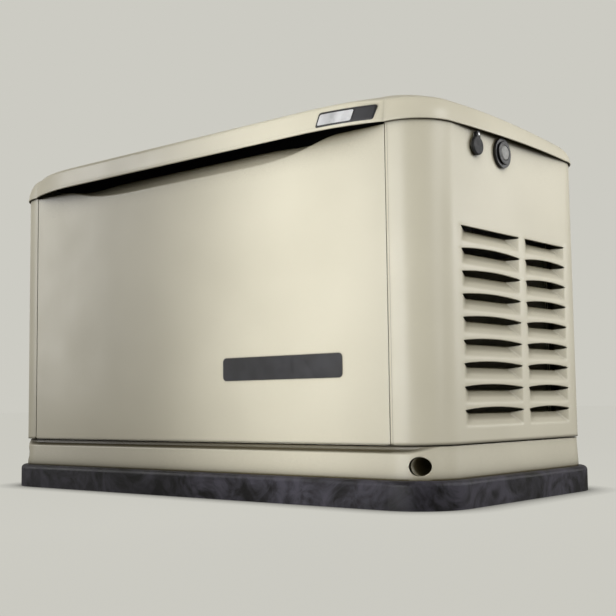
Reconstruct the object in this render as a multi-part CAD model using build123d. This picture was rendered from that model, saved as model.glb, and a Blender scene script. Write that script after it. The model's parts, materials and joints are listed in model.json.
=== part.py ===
from build123d import *
import os
from math import cos, radians, sin, sqrt

# Home standby generator: a vertical-shaft engine and alternator in a sheet-metal enclosure.
# Millimetres, +Z up, +X to the right seen from the front, the front faces -Y.
# The origin is at the middle of the footprint, on the ground.

# ---- Enclosure ----
BODY_LENGTH = 1196.0
BODY_DEPTH = 595.0
CORNER_RADIUS = 86.0
SKIN = 2.0
PAD_HEIGHT = 50.0
PAD_MARGIN = 15.0
PAD_WALL = 14.0
PAD_ROOF = 20.0
PAD_EDGE_ROUND = 9.0
BASE_HEIGHT = 58.0
BASE_INSET = 3.0
BASE_WALL = 3.0
BASE_FLANGE = 16.0
PANEL_HEIGHT = 566.0
PANEL_GAP = 2.0
END_RISE = 9.0
SEAM_INSET = 88.0
SEAM_GAP = 2.0
SEAM_FLANGE = 14.0
NOSE_OUT = 36.0
REAR_OUT = 20.0

Y_FRONT = NOSE_OUT - (BODY_DEPTH + NOSE_OUT + REAR_OUT) / 2
Y_BACK = Y_FRONT + BODY_DEPTH
Y_MID = (Y_FRONT + Y_BACK) / 2
X_SIDE = BODY_LENGTH / 2
X_SEAM = X_SIDE - SEAM_INSET
BASE_TOP = PAD_HEIGHT + BASE_HEIGHT
FLOOR = PAD_HEIGHT + BASE_WALL
PANEL_BOTTOM = BASE_TOP + PANEL_GAP
PANEL_TOP = PANEL_BOTTOM + PANEL_HEIGHT
END_TOP = PANEL_TOP + END_RISE

# Lifting bar holes through the base, front to back, and the anchor holes.
LIFT_INSET = 39.0
LIFT_RADIUS = 16.5
LIFT_HEIGHT = 24.0
ANCHOR_X = 450.0
ANCHOR_Y = 235.0
ANCHOR_RADIUS = 5.5

# Vent scoop in the top edge of the front panel.
VENT_DROP = 28.0
VENT_FLAT = 240.0
VENT_RAMP = 165.0
VENT_RETURN_DEPTH = 26.0
VENT_RETURN_RISE = 26.0

# Louvres of the end panels: two columns, given as distances behind the front face.
LOUVRE_COLUMNS = ((102.0, 311.0), (331.0, 496.0))
LOUVRE_ROWS = 9
LOUVRE_PITCH = 41.0
LOUVRE_BOTTOM = 138.0
LOUVRE_HEIGHT = 33.0
LOUVRE_DEPTH = 12.0
LOUVRE_SLOT = 8.0
LOUVRE_CHEEK = 34.0
REAR_LOUVRE_ROWS = 6
REAR_LOUVRE_X = ((-470.0, -290.0), (-270.0, -90.0))

# ---- Lid ----
LID_GAP = 2.0
LID_OVERHANG = 5.0
LID_BOW = 10.0
LID_SKIN = 2.0
LID_BOTTOM = PANEL_TOP + LID_GAP
LID_HEIGHT = 104.0
# Each section of the lid: height as a share of the lid's height, inset, share of the nose.
LID_SECTIONS = ((0.0, 0, 1.0), (0.43, 5, 0.93), (0.50, 14, 0.8), (0.62, 55, 0.5), (0.8, 125, 0.2),
                (0.94, 200, 0.0), (1.0, 262, 0.0))
LINER_THICKNESS = 14.0
LINER_BOTTOM = 32.0

# ---- Hinges, locks and status light ----
HINGE_X = 400.0
HINGE_LENGTH = 90.0
HINGE_BARREL = 6.0
HINGE_PIN = 3.0
HINGE_BACK = REAR_OUT - HINGE_BARREL
HINGE_DROP = 10.0
LEAF_THICKNESS = 3.0
KNUCKLE_GAP = 0.5
RUN_CLEARANCE = 0.05
LOCK_BACK = 157.0
LOCK_DROP = 28.0
LOCK_RADIUS = 11.0
LOCK_PLUG = 8.0
LOCK_INSIDE = 40.0
CAM_LENGTH = 40.0
CAM_THICKNESS = 4.0
COVER_RADIUS = 19.0
COVER_THICKNESS = 6.0
COVER_PIN = 2.5
LIGHT_BACK = 250.0
LIGHT_DROP = 28.0
BEZEL_RADIUS = 28.0
LENS_RADIUS = 15.0

# ---- Bulkheads and power unit ----
LEFT_BULKHEAD = -262.0
RIGHT_BULKHEAD = 250.0
BULKHEAD_CLEARANCE = 36.0
BULKHEAD_REAR = 24.0
BULKHEAD_FOOT = 14.0
BULKHEAD_TOP = PANEL_TOP - 12.0
UNIT_X = 20.0
UNIT_Y = Y_MID
MOUNT_HEIGHT = 30.0
MOUNT_RADIUS = 25.0
MOUNT_SPREAD = 140.0
CASE_PLATE = 8.0
CASE_RADIUS = 145.0
CASE_WALL = 6.0
CASE_HEIGHT = 190.0
STATOR_HEIGHT = 105.0
STATOR_BORE = 80.0
AIR_GAP = 1.0
ROTOR_SLOT_FLOOR = 48.0
WINDING_HEIGHT = 24.0
SHAFT_RADIUS = 17.5
BEARING_RADIUS = 36.0
BEARING_HEIGHT = 18.0
CRANKCASE_RADIUS = 120.0
CRANKCASE_HEIGHT = 155.0
CRANKCASE_WALL = 18.0
CYLINDER_HEIGHT = 84.0
CYLINDER_RADIUS = 55.0
CYLINDER_BORE = 42.0
FIN_RADIUS = 72.0
FIN_COUNT = 8
HEAD_START = 215.0
HEAD_LENGTH = 44.0
HEAD_WIDTH = 132.0
HEAD_HEIGHT = 116.0
COVER_LENGTH = 28.0
BANK_ANGLE = 45.0
FLYWHEEL_RADIUS = 132.0
HOUSING_RADIUS = 162.0
HOUSING_WALL = 3.0
HOUSING_HEIGHT = 98.0
INLET_RADIUS = 105.0

CASE_BOTTOM = FLOOR + MOUNT_HEIGHT
CASE_TOP = CASE_BOTTOM + CASE_PLATE + CASE_HEIGHT
CRANKCASE_TOP = CASE_TOP + CRANKCASE_HEIGHT
CYLINDER_Z = CASE_TOP + CYLINDER_HEIGHT
STATOR_BOTTOM = CASE_BOTTOM + CASE_PLATE + 40.0
HOUSING_BOTTOM = CRANKCASE_TOP + 20.0
FLYWHEEL_Z = HOUSING_BOTTOM + 14.0
MIXER_X = UNIT_X - 205.0
PORT_SPREAD = 131.0

# Gas, exhaust, control and battery places.
EXHAUST_REACH = HEAD_START + HEAD_LENGTH / 2 + 4.0
GAS_X = 190.0
GAS_Z = 170.0
GAS_BORE = 12.0
GAS_BORE_LENGTH = 20.0
GAS_FLANGE_BORE = 18.0
REGULATOR_Z = 270.0
CONDUIT_X = 400.0
CONDUIT_Z = 190.0
CONDUIT_RADIUS = 17.5
EXHAUST_X = UNIT_X - EXHAUST_REACH / sqrt(2)
EXHAUST_SPREAD = EXHAUST_REACH / sqrt(2)
EXHAUST_Z = 250.0
MUFFLER_X0 = -540.0
MUFFLER_X1 = -310.0
MUFFLER_WIDTH = 400.0
MANIFOLD_Z = CYLINDER_Z + HEAD_HEIGHT / 2 + 30.0
MIXER_Z = MANIFOLD_Z + 26.0
AIR_BOX_BOTTOM = MIXER_Z + 72.0
THROTTLE_Z = MIXER_Z + 20.0
THROTTLE_BORE = 21.0
GAS_PORT_Z = MIXER_Z + 48.0
CONTROL_X = (285.0, 545.0)
CONTROL_Y = (-60.0, 230.0)
CONTROL_BOTTOM = 490.0
CONTROL_TOP = 632.0
BUTTON_RADIUS = 11.0
BUTTON_TRAVEL = 1.5
BREAKER_PLACE = (500.0, 40.0)
BREAKER_SWING = 50.0
BATTERY_CORNER = (300.0, -240.0, 56.0)
LABEL_SIZE = (300.0, 44.0)
LABEL_X = 256.0
LABEL_Z = 252.0
BADGE_X = 439.0
BADGE_SIZE = (122.0, 28.0)
BADGE_LEAN = 8.0
BADGE_RAISE = 6.0
BADGE_CORNER = 5.0
BADGE_THICKNESS = 1.0


def block(x0, x1, y0, y1, z0, z1):
    """A box between two opposite corners."""
    return Pos((x0 + x1) / 2, (y0 + y1) / 2, (z0 + z1) / 2) * Box(x1 - x0, y1 - y0, z1 - z0)


def rod(start, direction, length, radius):
    """A cylinder from a start point along a direction."""
    place = Plane(origin=start, z_dir=direction)
    return place * Cylinder(radius, length, align=(Align.CENTER, Align.CENTER, Align.MIN))


def ring(start, direction, length, outer, inner):
    """A tube from a start point along a direction."""
    return rod(start, direction, length, outer) - rod(start, direction, length, inner)


def bent_tube(points, bend_radius, radius):
    """A round bar along straight runs joined by arcs."""
    route = FilletPolyline(*points, radius=bend_radius)
    return sweep(Plane(origin=route @ 0, z_dir=route % 0) * Circle(radius), path=route)


def body_plan(height, inset=0.0):
    """The enclosure's rounded rectangle at a height, moved inwards."""
    outline = RectangleRounded(BODY_LENGTH - 2 * inset, BODY_DEPTH - 2 * inset, CORNER_RADIUS - inset)
    return Pos(0, Y_MID, height) * outline


def mirrored(solid):
    """The same piece at the other end of the enclosure."""
    return mirror(solid, about=Plane.YZ)


def write(shape, node):
    """Write one node's solids."""
    export_step(Compound(children=list(shape.solids())), "parts/" + node + ".step")


# ---- Pad and base ----
def anchor_places():
    """Centres of the four anchor holes."""
    return [(sx * ANCHOR_X, Y_MID + sy * ANCHOR_Y) for sx in (-1, 1) for sy in (-1, 1)]


def pad():
    """Composite pad with ribs underneath, a rounded top edge and anchor holes."""
    length = BODY_LENGTH + 2 * PAD_MARGIN
    depth = BODY_DEPTH + PAD_MARGIN + REAR_OUT
    y_middle = Y_MID + (REAR_OUT - PAD_MARGIN) / 2
    plan = RectangleRounded(length, depth, CORNER_RADIUS + PAD_MARGIN)
    solid = extrude(Pos(0, y_middle) * plan, PAD_HEIGHT)
    solid = fillet(solid.faces().sort_by(Axis.Z)[-1].edges(), PAD_EDGE_ROUND)
    columns, rows = 5, 2
    cell_x = (length - 2 * CORNER_RADIUS) / columns
    cell_y = (depth - PAD_WALL) / rows
    for column in range(columns):
        for row in range(rows):
            x = (column - (columns - 1) / 2) * cell_x
            y = y_middle + (row - (rows - 1) / 2) * cell_y
            pocket = Box(cell_x - PAD_WALL, cell_y - PAD_WALL, 2 * (PAD_HEIGHT - PAD_ROOF))
            solid -= Pos(x, y, 0) * pocket
    for x, y in anchor_places():
        solid -= rod((x, y, 0), (0, 0, 1), PAD_HEIGHT, ANCHOR_RADIUS)
    return solid


def base_tray():
    """Flared base band with a floor, an inward top flange, lifting holes and anchor holes."""
    outer = loft([body_plan(PAD_HEIGHT), body_plan(BASE_TOP, BASE_INSET)])
    inner = loft([body_plan(FLOOR, BASE_WALL), body_plan(BASE_TOP, BASE_INSET + BASE_WALL)])
    flange_plan = body_plan(BASE_TOP - BASE_WALL, BASE_INSET) - body_plan(
        BASE_TOP - BASE_WALL, BASE_INSET + BASE_FLANGE)
    solid = outer - inner + (extrude(flange_plan, BASE_WALL) & outer)
    for side in (-1, 1):
        solid -= rod((side * (X_SIDE - LIFT_INSET), Y_FRONT - 1, PAD_HEIGHT + LIFT_HEIGHT), (0, 1, 0),
                     BODY_DEPTH + 2, LIFT_RADIUS)
    for x, y in anchor_places():
        solid -= rod((x, y, PAD_HEIGHT), (0, 0, 1), BASE_WALL, ANCHOR_RADIUS)
    return solid


# ---- Louvres ----
def scoop(width, grow):
    """Hip-shaped louvre pocket, pressed towards +Y from the XZ plane, grown by a wall.

    Its bottom face slopes in from the skin to the slot's lower edge, and its two cheeks
    close the ends. The pocket stands with its middle bottom at the origin."""
    half = width / 2
    cheek = min(LOUVRE_CHEEK, 0.4 * width)
    front = [(-half - grow, 0, -grow), (half + grow, 0, -grow), (half + grow, 0, LOUVRE_HEIGHT),
             (-half - grow, 0, LOUVRE_HEIGHT)]
    slot = LOUVRE_HEIGHT - LOUVRE_SLOT
    edge = half - cheek + grow / 2
    back = [(-edge, LOUVRE_DEPTH + grow, slot), (edge, LOUVRE_DEPTH + grow, slot)]
    sides = [(front[0], front[1], front[2], front[3]), (front[0], front[1], back[1], back[0]),
             (front[3], front[2], back[1], back[0]), (front[0], back[0], front[3]),
             (front[1], front[2], back[1])]
    return Solid(Shell([Face(Wire.make_polygon([Vector(*p) for p in side])) for side in sides]))


def slot_cut(width):
    """The open face of a scoop, as a prism that runs inwards and upwards."""
    half = width / 2
    cheek = min(LOUVRE_CHEEK, 0.4 * width)
    slot = LOUVRE_HEIGHT - LOUVRE_SLOT
    corners = [(-half, 0, LOUVRE_HEIGHT), (half, 0, LOUVRE_HEIGHT),
               (half - cheek, LOUVRE_DEPTH, slot), (cheek - half, LOUVRE_DEPTH, slot)]
    opening = Face(Wire.make_polygon([Vector(*p) for p in corners]))
    return extrude(opening, 12.0, dir=(0, 1, 0.5))


def louvred(panel, places):
    """Press louvres into a panel; each place is a location and the louvre's width."""
    for place, width in places:
        panel = panel + place * scoop(width, SKIN)
        panel = panel - place * scoop(width, 0.0) - place * slot_cut(width)
    return panel


def end_louvre_places():
    """Locations of the right end's louvres, pressed towards -X."""
    places = []
    for row in range(LOUVRE_ROWS):
        for near, far in LOUVRE_COLUMNS:
            y = Y_FRONT + (near + far) / 2
            place = Location((X_SIDE, y, LOUVRE_BOTTOM + row * LOUVRE_PITCH), (0, 0, 90))
            places.append((place, far - near))
    return places


# ---- Panels ----
def end_panel():
    """Right end: flat side and both round corners, returned at the seams, with louvres."""
    shell = extrude(body_plan(PANEL_BOTTOM) - body_plan(PANEL_BOTTOM, SKIN), END_TOP - PANEL_BOTTOM)
    flange_plan = body_plan(PANEL_BOTTOM) - body_plan(PANEL_BOTTOM, SEAM_FLANGE)
    shell += extrude(flange_plan, SKIN)
    edge = X_SEAM + SEAM_GAP / 2
    shell &= block(edge, X_SIDE + 1, Y_FRONT - 1, Y_BACK + 1, PANEL_BOTTOM - 1, END_TOP + 1)
    shell += block(edge, edge + SKIN, Y_FRONT, Y_FRONT + SEAM_FLANGE, PANEL_BOTTOM, END_TOP)
    shell += block(edge, edge + SKIN, Y_BACK - SEAM_FLANGE, Y_BACK, PANEL_BOTTOM, END_TOP)
    shell = louvred(shell, end_louvre_places())
    shell -= rod((X_SIDE + 1, lock_y(), lock_z()), (-1, 0, 0), 10, LOCK_RADIUS + 0.2)
    return shell


def right_end_panel():
    """Right end panel, which also takes the status light."""
    return end_panel() - rod((X_SIDE + 1, light_y(), light_z()), (-1, 0, 0), 10, BEZEL_RADIUS - 6)


def back_panel():
    """Flat rear panel with louvres, a gas inlet hole and a conduit hole."""
    edge = X_SEAM - SEAM_GAP / 2
    panel = block(-edge, edge, Y_BACK - SKIN, Y_BACK, PANEL_BOTTOM, END_TOP)
    for x in (-edge, edge - SKIN):
        panel += block(x, x + SKIN, Y_BACK - SEAM_FLANGE, Y_BACK, PANEL_BOTTOM, END_TOP)
    places = []
    for row in range(REAR_LOUVRE_ROWS):
        for left, right in REAR_LOUVRE_X:
            z = LOUVRE_BOTTOM + row * LOUVRE_PITCH
            places.append((Location(((left + right) / 2, Y_BACK, z), (0, 0, 180)), right - left))
    panel = louvred(panel, places)
    panel -= rod((GAS_X, Y_BACK + 1, GAS_Z), (0, -1, 0), 10, GAS_FLANGE_BORE)
    panel -= rod((CONDUIT_X, Y_BACK + 1, CONDUIT_Z), (0, -1, 0), 10, CONDUIT_RADIUS)
    return panel


def panel_screws():
    """Hexagon screw heads down both edges of the rear panel."""
    heads = []
    count = 4
    for side in (-1, 1):
        for index in range(count):
            z = PANEL_BOTTOM + 40 + index * (PANEL_HEIGHT - 110) / (count - 1)
            place = Plane(origin=(side * (X_SEAM - 12), Y_BACK, z), z_dir=(0, 1, 0))
            heads.append(extrude(place * RegularPolygon(6.0, 6), 4.0))
            heads.append(rod((side * (X_SEAM - 12), Y_BACK, z), (0, 1, 0), 1.5, 8.0))
    return Part() + heads


def vent_profile():
    """Front panel outline in X and Z, with the vent scoop in its top edge."""
    edge = X_SEAM - SEAM_GAP / 2
    low = PANEL_TOP - VENT_DROP
    flat = VENT_FLAT
    end = VENT_FLAT + VENT_RAMP
    bottom = Polyline((-end, PANEL_TOP), (-edge, PANEL_TOP), (-edge, PANEL_BOTTOM), (edge, PANEL_BOTTOM),
                      (edge, PANEL_TOP), (end, PANEL_TOP))
    middle = (flat + end) / 2
    right = Bezier((end, PANEL_TOP), (middle, PANEL_TOP), (middle, low), (flat, low))
    left = Bezier((-flat, low), (-middle, low), (-middle, PANEL_TOP), (-end, PANEL_TOP))
    return make_face(bottom + right + Line((flat, low), (-flat, low)) + left)


def front_panel():
    """Removable front panel: flat sheet, returned edges and the vent's sloping return."""
    edge = X_SEAM - SEAM_GAP / 2
    face = Plane(origin=(0, Y_FRONT, 0), x_dir=(1, 0, 0), z_dir=(0, -1, 0)) * vent_profile()
    panel = extrude(face, SKIN, dir=(0, 1, 0))
    for x in (-edge, edge - SKIN):
        panel += block(x, x + SKIN, Y_FRONT, Y_FRONT + SEAM_FLANGE, PANEL_BOTTOM, PANEL_TOP)
    panel += block(-edge, edge, Y_FRONT, Y_FRONT + SEAM_FLANGE, PANEL_BOTTOM, PANEL_BOTTOM + SKIN)
    band = VENT_FLAT + VENT_RAMP / 2
    lip = extrude(face - Pos(0, 0, -SKIN) * face, 0.001 + VENT_RETURN_DEPTH,
                  dir=(0, VENT_RETURN_DEPTH, VENT_RETURN_RISE))
    keep = block(-band, band, Y_FRONT, Y_FRONT + 60, PANEL_BOTTOM, PANEL_TOP)
    return panel + (lip & keep)


def panel_label():
    """Plain blank label plate on the lower right of the front panel."""
    plan = RectangleRounded(LABEL_SIZE[0], LABEL_SIZE[1], 8)
    place = Plane(origin=(LABEL_X, Y_FRONT, LABEL_Z), x_dir=(1, 0, 0), z_dir=(0, -1, 0))
    return extrude(place * plan, 1.0)


# ---- Lid ----
def lid_section(share, inset, nose, shrink=0.0, drop=0.0):
    """Plan of the lid at a height: bowed ends, round corners and the front nose."""
    height = LID_BOTTOM + share * LID_HEIGHT - drop
    inset = inset + shrink
    radius = max(CORNER_RADIUS + LID_OVERHANG - inset, 12.0)
    side = X_SIDE + LID_OVERHANG - inset
    front = Y_FRONT - LID_OVERHANG + inset
    back = Y_BACK + LID_OVERHANG - inset
    reach = side - radius
    tip = front - nose * (NOSE_OUT - LID_OVERHANG)
    flat = 0.67 * reach
    slope = 0.85 * reach
    bevel = radius * (1 - 1 / sqrt(2))
    right = [ThreePointArc((reach, back), (side - bevel, back - bevel), (side, back - radius)),
             ThreePointArc((side, back - radius), (side + LID_BOW, Y_MID), (side, front + radius)),
             ThreePointArc((side, front + radius), (side - bevel, front + bevel), (reach, front)),
             Bezier((reach, front), (slope, tip), (flat, tip))]
    left = [mirror(edge, about=Plane.YZ) for edge in right]
    loop = right + [Line((flat, tip), (-flat, tip))] + left + [Line((-reach, back), (reach, back))]
    outline = make_face(Curve() + loop)
    return Pos(0, 0, height) * outline


def lid_form(shrink=0.0, drop=0.0):
    """The lid's domed outer form, or the hollow inside it."""
    sections = [lid_section(*section, shrink, drop) for section in LID_SECTIONS]
    if drop > 0:
        sections[0] = lid_section(0.0, 0.0, 1.0, shrink, 1.0)
    return loft(sections, ruled=True)


def lid():
    """Domed lid, open underneath."""
    return lid_form() - lid_form(LID_SKIN, LID_SKIN)


def lid_liner():
    """Flat acoustic foam under the lid."""
    bottom = LID_BOTTOM + LINER_BOTTOM
    plan = RectangleRounded(BODY_LENGTH - 110, BODY_DEPTH - 110, 40)
    return extrude(Pos(0, Y_MID, bottom) * plan, LINER_THICKNESS)


def badge_plate():
    """Blank badge on the right of the lid's front."""
    low = LID_BOTTOM + BADGE_RAISE
    high = low + BADGE_SIZE[1]
    left = BADGE_X - BADGE_SIZE[0] / 2
    right = BADGE_X + BADGE_SIZE[0] / 2
    corners = [(left, low), (right - BADGE_LEAN, low), (right, high), (left + BADGE_LEAN, high)]
    plan = fillet(make_face(Polyline(*corners, close=True)).vertices(), BADGE_CORNER)
    place = Plane(origin=(0, Y_FRONT - NOSE_OUT - 5, 0), x_dir=(1, 0, 0), z_dir=(0, -1, 0))
    prism = extrude(place * plan, NOSE_OUT + 20, dir=(0, 1, 0))
    return (prism & lid_form(-BADGE_THICKNESS)) - lid_form()


# ---- Hinges ----
def hinge_axis():
    """Y and Z of the lid's hinge line."""
    return Y_BACK + HINGE_BACK, LID_BOTTOM - HINGE_DROP


def knuckle(x0, x1, bore):
    """One hinge knuckle along X."""
    y, z = hinge_axis()
    return ring((x0, y, z), (1, 0, 0), x1 - x0, HINGE_BARREL, bore)


def fixed_leaves():
    """Leaves on the rear panel, with the two outer knuckles of each hinge."""
    y, z = hinge_axis()
    third = HINGE_LENGTH / 3
    solids = []
    for side in (-1, 1):
        start = side * HINGE_X - HINGE_LENGTH / 2
        leaf = block(start, start + HINGE_LENGTH, Y_BACK, Y_BACK + LEAF_THICKNESS, z - 50, z - 8)
        for x0 in (start, start + 2 * third):
            arm = block(x0, x0 + third, Y_BACK, y, z - 11, z - 8)
            arm += block(x0, x0 + third, y - 3, y, z - 11, z - 2)
            leaf += arm - rod((x0, y, z), (1, 0, 0), third, HINGE_PIN) + knuckle(x0, x0 + third, HINGE_PIN)
        solids.append(leaf)
    return Part() + solids


def lid_leaves():
    """Leaves on the lid's rear skirt, with the middle knuckle of each hinge."""
    y, z = hinge_axis()
    third = HINGE_LENGTH / 3
    bore = HINGE_PIN + RUN_CLEARANCE
    solids = []
    for side in (-1, 1):
        start = side * HINGE_X - HINGE_LENGTH / 2
        x0 = start + third + KNUCKLE_GAP
        x1 = start + 2 * third - KNUCKLE_GAP
        skirt = Y_BACK + LID_OVERHANG
        end = start + HINGE_LENGTH
        leaf = block(start, end, skirt, skirt + LEAF_THICKNESS, LID_BOTTOM + 2, LID_BOTTOM + 30)
        arm = block(x0, x1, skirt, y + 1, LID_BOTTOM + 2, LID_BOTTOM + 5)
        arm += block(x0, x1, y - 2, y + 1, z + 3, LID_BOTTOM + 5)
        solids.append(leaf + arm - rod((x0, y, z), (1, 0, 0), x1 - x0, bore) + knuckle(x0, x1, bore))
    return Part() + solids


def hinge_pins():
    """One pin through each hinge."""
    y, z = hinge_axis()
    length = HINGE_LENGTH + 4
    starts = [side * HINGE_X - length / 2 for side in (-1, 1)]
    return Part() + [rod((x, y, z), (1, 0, 0), length, HINGE_PIN) for x in starts]


# ---- Locks and status light ----
def lock_y():
    """Distance of the lid lock from the middle of the depth axis."""
    return Y_FRONT + LOCK_BACK


def lock_z():
    """Height of the lid lock."""
    return LID_BOTTOM - LOCK_DROP


def light_y():
    """Place of the status light along Y."""
    return Y_FRONT + LIGHT_BACK


def light_z():
    """Height of the status light."""
    return LID_BOTTOM - LIGHT_DROP


def lock_body():
    """Right lock: flanged barrel through the end panel, with the cover's pivot pin."""
    y, z = lock_y(), lock_z()
    inside = X_SIDE - LOCK_INSIDE
    body = ring((inside, y, z), (1, 0, 0), LOCK_INSIDE, LOCK_RADIUS, LOCK_PLUG + RUN_CLEARANCE)
    body += ring((X_SIDE, y, z), (1, 0, 0), 2.0, LOCK_RADIUS + 4, LOCK_PLUG + RUN_CLEARANCE)
    pivot = z + COVER_RADIUS
    body += rod((X_SIDE, y, pivot), (1, 0, 0), 3 + COVER_THICKNESS + 1, COVER_PIN)
    body += block(X_SIDE, X_SIDE + 2, y - 5, y + 5, z + LOCK_RADIUS, pivot + 5)
    return body


def latch():
    """Right latch: keyed plug with a cam arm that hangs down when unlocked."""
    y, z = lock_y(), lock_z()
    inside = X_SIDE - LOCK_INSIDE
    plug = rod((inside - CAM_THICKNESS - 1, y, z), (1, 0, 0), LOCK_INSIDE + CAM_THICKNESS + 2.5, LOCK_PLUG)
    plug -= block(X_SIDE - 6, X_SIDE + 3, y - 1, y + 1, z - 5, z + 5)
    cam = block(inside - CAM_THICKNESS - 1, inside - 1, y - 8, y + 8, z - CAM_LENGTH, z)
    return plug + cam


def lock_cover():
    """Right lock cover: flat rubber disc that swings about the pin in its top tab."""
    y, z = lock_y(), lock_z()
    front = X_SIDE + 3
    disc = rod((front, y, z - 2), (1, 0, 0), COVER_THICKNESS, COVER_RADIUS - 2)
    disc = fillet(disc.edges().sort_by(Axis.X)[-1], 2)
    tab = rod((front, y, z + COVER_RADIUS), (1, 0, 0), COVER_THICKNESS, 6)
    tab += block(front, front + COVER_THICKNESS, y - 6, y + 6, z + 6, z + COVER_RADIUS)
    hole = COVER_PIN + RUN_CLEARANCE
    return disc + tab - rod((front, y, z + COVER_RADIUS), (1, 0, 0), COVER_THICKNESS, hole)


def lid_keepers():
    """Striker plates hanging inside the lid beside each lock cam."""
    y = lock_y()
    x = X_SIDE - LOCK_INSIDE - CAM_THICKNESS - 5
    plate = block(x - 3, x, y - 20, y + 20, lock_z() - 6, LID_BOTTOM + LINER_BOTTOM)
    plate += block(x - 16, x, y - 20, y + 20, LID_BOTTOM + LINER_BOTTOM - 3, LID_BOTTOM + LINER_BOTTOM)
    plate -= block(x - 4, x + 1, y - 10, y + 10, lock_z() + 2, lock_z() + 16)
    return Part() + [plate, mirrored(plate)]


def status_bezel():
    """Stepped round bezel of the status light."""
    y, z = light_y(), light_z()
    bezel = rod((X_SIDE, y, z), (1, 0, 0), 6, BEZEL_RADIUS)
    bezel += rod((X_SIDE + 6, y, z), (1, 0, 0), 4, BEZEL_RADIUS - 6)
    bezel += rod((X_SIDE - 20, y, z), (1, 0, 0), 20, BEZEL_RADIUS - 7)
    bezel = fillet(bezel.faces().sort_by(Axis.X)[-1].edges(), 1.5)
    return bezel - rod((X_SIDE - 8, y, z), (1, 0, 0), 30, LENS_RADIUS)


def status_lens():
    """Domed translucent lens inside the bezel."""
    y, z = light_y(), light_z()
    lens = rod((X_SIDE - 8, y, z), (1, 0, 0), 19, LENS_RADIUS)
    return fillet(lens.faces().sort_by(Axis.X)[-1].edges(), 4)


# ---- Bulkheads ----
def bulkhead_span():
    """Front and rear limits of both bulkheads along Y."""
    return Y_FRONT + BULKHEAD_CLEARANCE, Y_BACK - BULKHEAD_REAR


def left_bulkhead():
    """Wall between the exhaust bay and the engine, with holes for the exhaust pipes."""
    near, far = bulkhead_span()
    x = LEFT_BULKHEAD
    wall = block(x, x + SKIN, near, far, FLOOR, BULKHEAD_TOP)
    wall += block(x - BULKHEAD_FOOT, x + SKIN, near, far, FLOOR, FLOOR + SKIN)
    for side in (-1, 1):
        wall -= rod((LEFT_BULKHEAD - 20, UNIT_Y + side * EXHAUST_SPREAD, EXHAUST_Z), (1, 0, 0), 40, 28)
    return wall


def right_bulkhead():
    """Wall between the engine and the battery and control bay, with a cable hole."""
    near, far = bulkhead_span()
    x = RIGHT_BULKHEAD
    wall = block(x, x + SKIN, near, far, FLOOR, BULKHEAD_TOP)
    wall += block(x, x + BULKHEAD_FOOT, near, far, FLOOR, FLOOR + SKIN)
    return wall - rod((RIGHT_BULKHEAD - 5, Y_MID + 60, 330), (1, 0, 0), 20, 22)


# ---- Alternator ----
def axis_point(z):
    """A point on the crankshaft's axis."""
    return (UNIT_X, UNIT_Y, z)


def vibration_mounts():
    """Four waisted rubber mounts under the alternator case."""
    solids = []
    waist = 4.0
    for sx in (-1, 1):
        for sy in (-1, 1):
            place = (UNIT_X + sx * MOUNT_SPREAD, UNIT_Y + sy * MOUNT_SPREAD)
            mount = rod((*place, FLOOR), (0, 0, 1), MOUNT_HEIGHT, MOUNT_RADIUS)
            groove = ring((*place, FLOOR + MOUNT_HEIGHT / 3), (0, 0, 1), MOUNT_HEIGHT / 3, MOUNT_RADIUS + 1,
                          MOUNT_RADIUS - waist)
            solids.append(mount - groove)
    return Part() + solids


def alternator_case():
    """Foot plate, round case and engine flange, with a bearing seat and cooling slots."""
    plate = Pos(UNIT_X, UNIT_Y, CASE_BOTTOM) * Box(2 * MOUNT_SPREAD + 60, 2 * MOUNT_SPREAD + 60, CASE_PLATE,
                                                   align=(Align.CENTER, Align.CENTER, Align.MIN))
    plate = fillet(plate.edges().filter_by(Axis.Z), 25)
    start = CASE_BOTTOM + CASE_PLATE
    case = plate + ring(axis_point(start), (0, 0, 1), CASE_HEIGHT, CASE_RADIUS, CASE_RADIUS - CASE_WALL)
    case += ring(axis_point(CASE_TOP - 10), (0, 0, 1), 10, CASE_RADIUS + 12, CASE_RADIUS - CASE_WALL)
    case += rod(axis_point(start), (0, 0, 1), 14, BEARING_RADIUS + 12)
    case -= rod(axis_point(start - 4), (0, 0, 1), 20, BEARING_RADIUS)
    slots = 8
    for index in range(slots):
        angle = radians(360 * (index + 0.5) / slots)
        slot = rod((UNIT_X, UNIT_Y, start + 22), (cos(angle), sin(angle), 0), CASE_RADIUS + 5, 9)
        case -= slot
    return case


def stator_core():
    """Laminated ring pressed into the case."""
    return ring(axis_point(STATOR_BOTTOM), (0, 0, 1), STATOR_HEIGHT, CASE_RADIUS - CASE_WALL, STATOR_BORE)


def stator_windings():
    """Copper end turns above and below the stator."""
    solids = []
    outer = CASE_RADIUS - CASE_WALL - 10
    for z in (STATOR_BOTTOM - WINDING_HEIGHT, STATOR_BOTTOM + STATOR_HEIGHT):
        turns = ring(axis_point(z), (0, 0, 1), WINDING_HEIGHT, outer, STATOR_BORE + 8)
        outside = z if z < STATOR_BOTTOM else z + WINDING_HEIGHT
        edges = turns.edges().filter_by(lambda edge: abs(edge.center().Z - outside) < 0.1)
        solids.append(fillet(edges, 8))
    return Part() + solids


def lower_bearing():
    """Ball bearing ring in the foot plate."""
    z = CASE_BOTTOM + CASE_PLATE - 4
    bearing = ring(axis_point(z), (0, 0, 1), BEARING_HEIGHT, BEARING_RADIUS, SHAFT_RADIUS + RUN_CLEARANCE)
    return bearing - ring(axis_point(z + BEARING_HEIGHT - 2), (0, 0, 1), 2, 30, 24)


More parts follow.
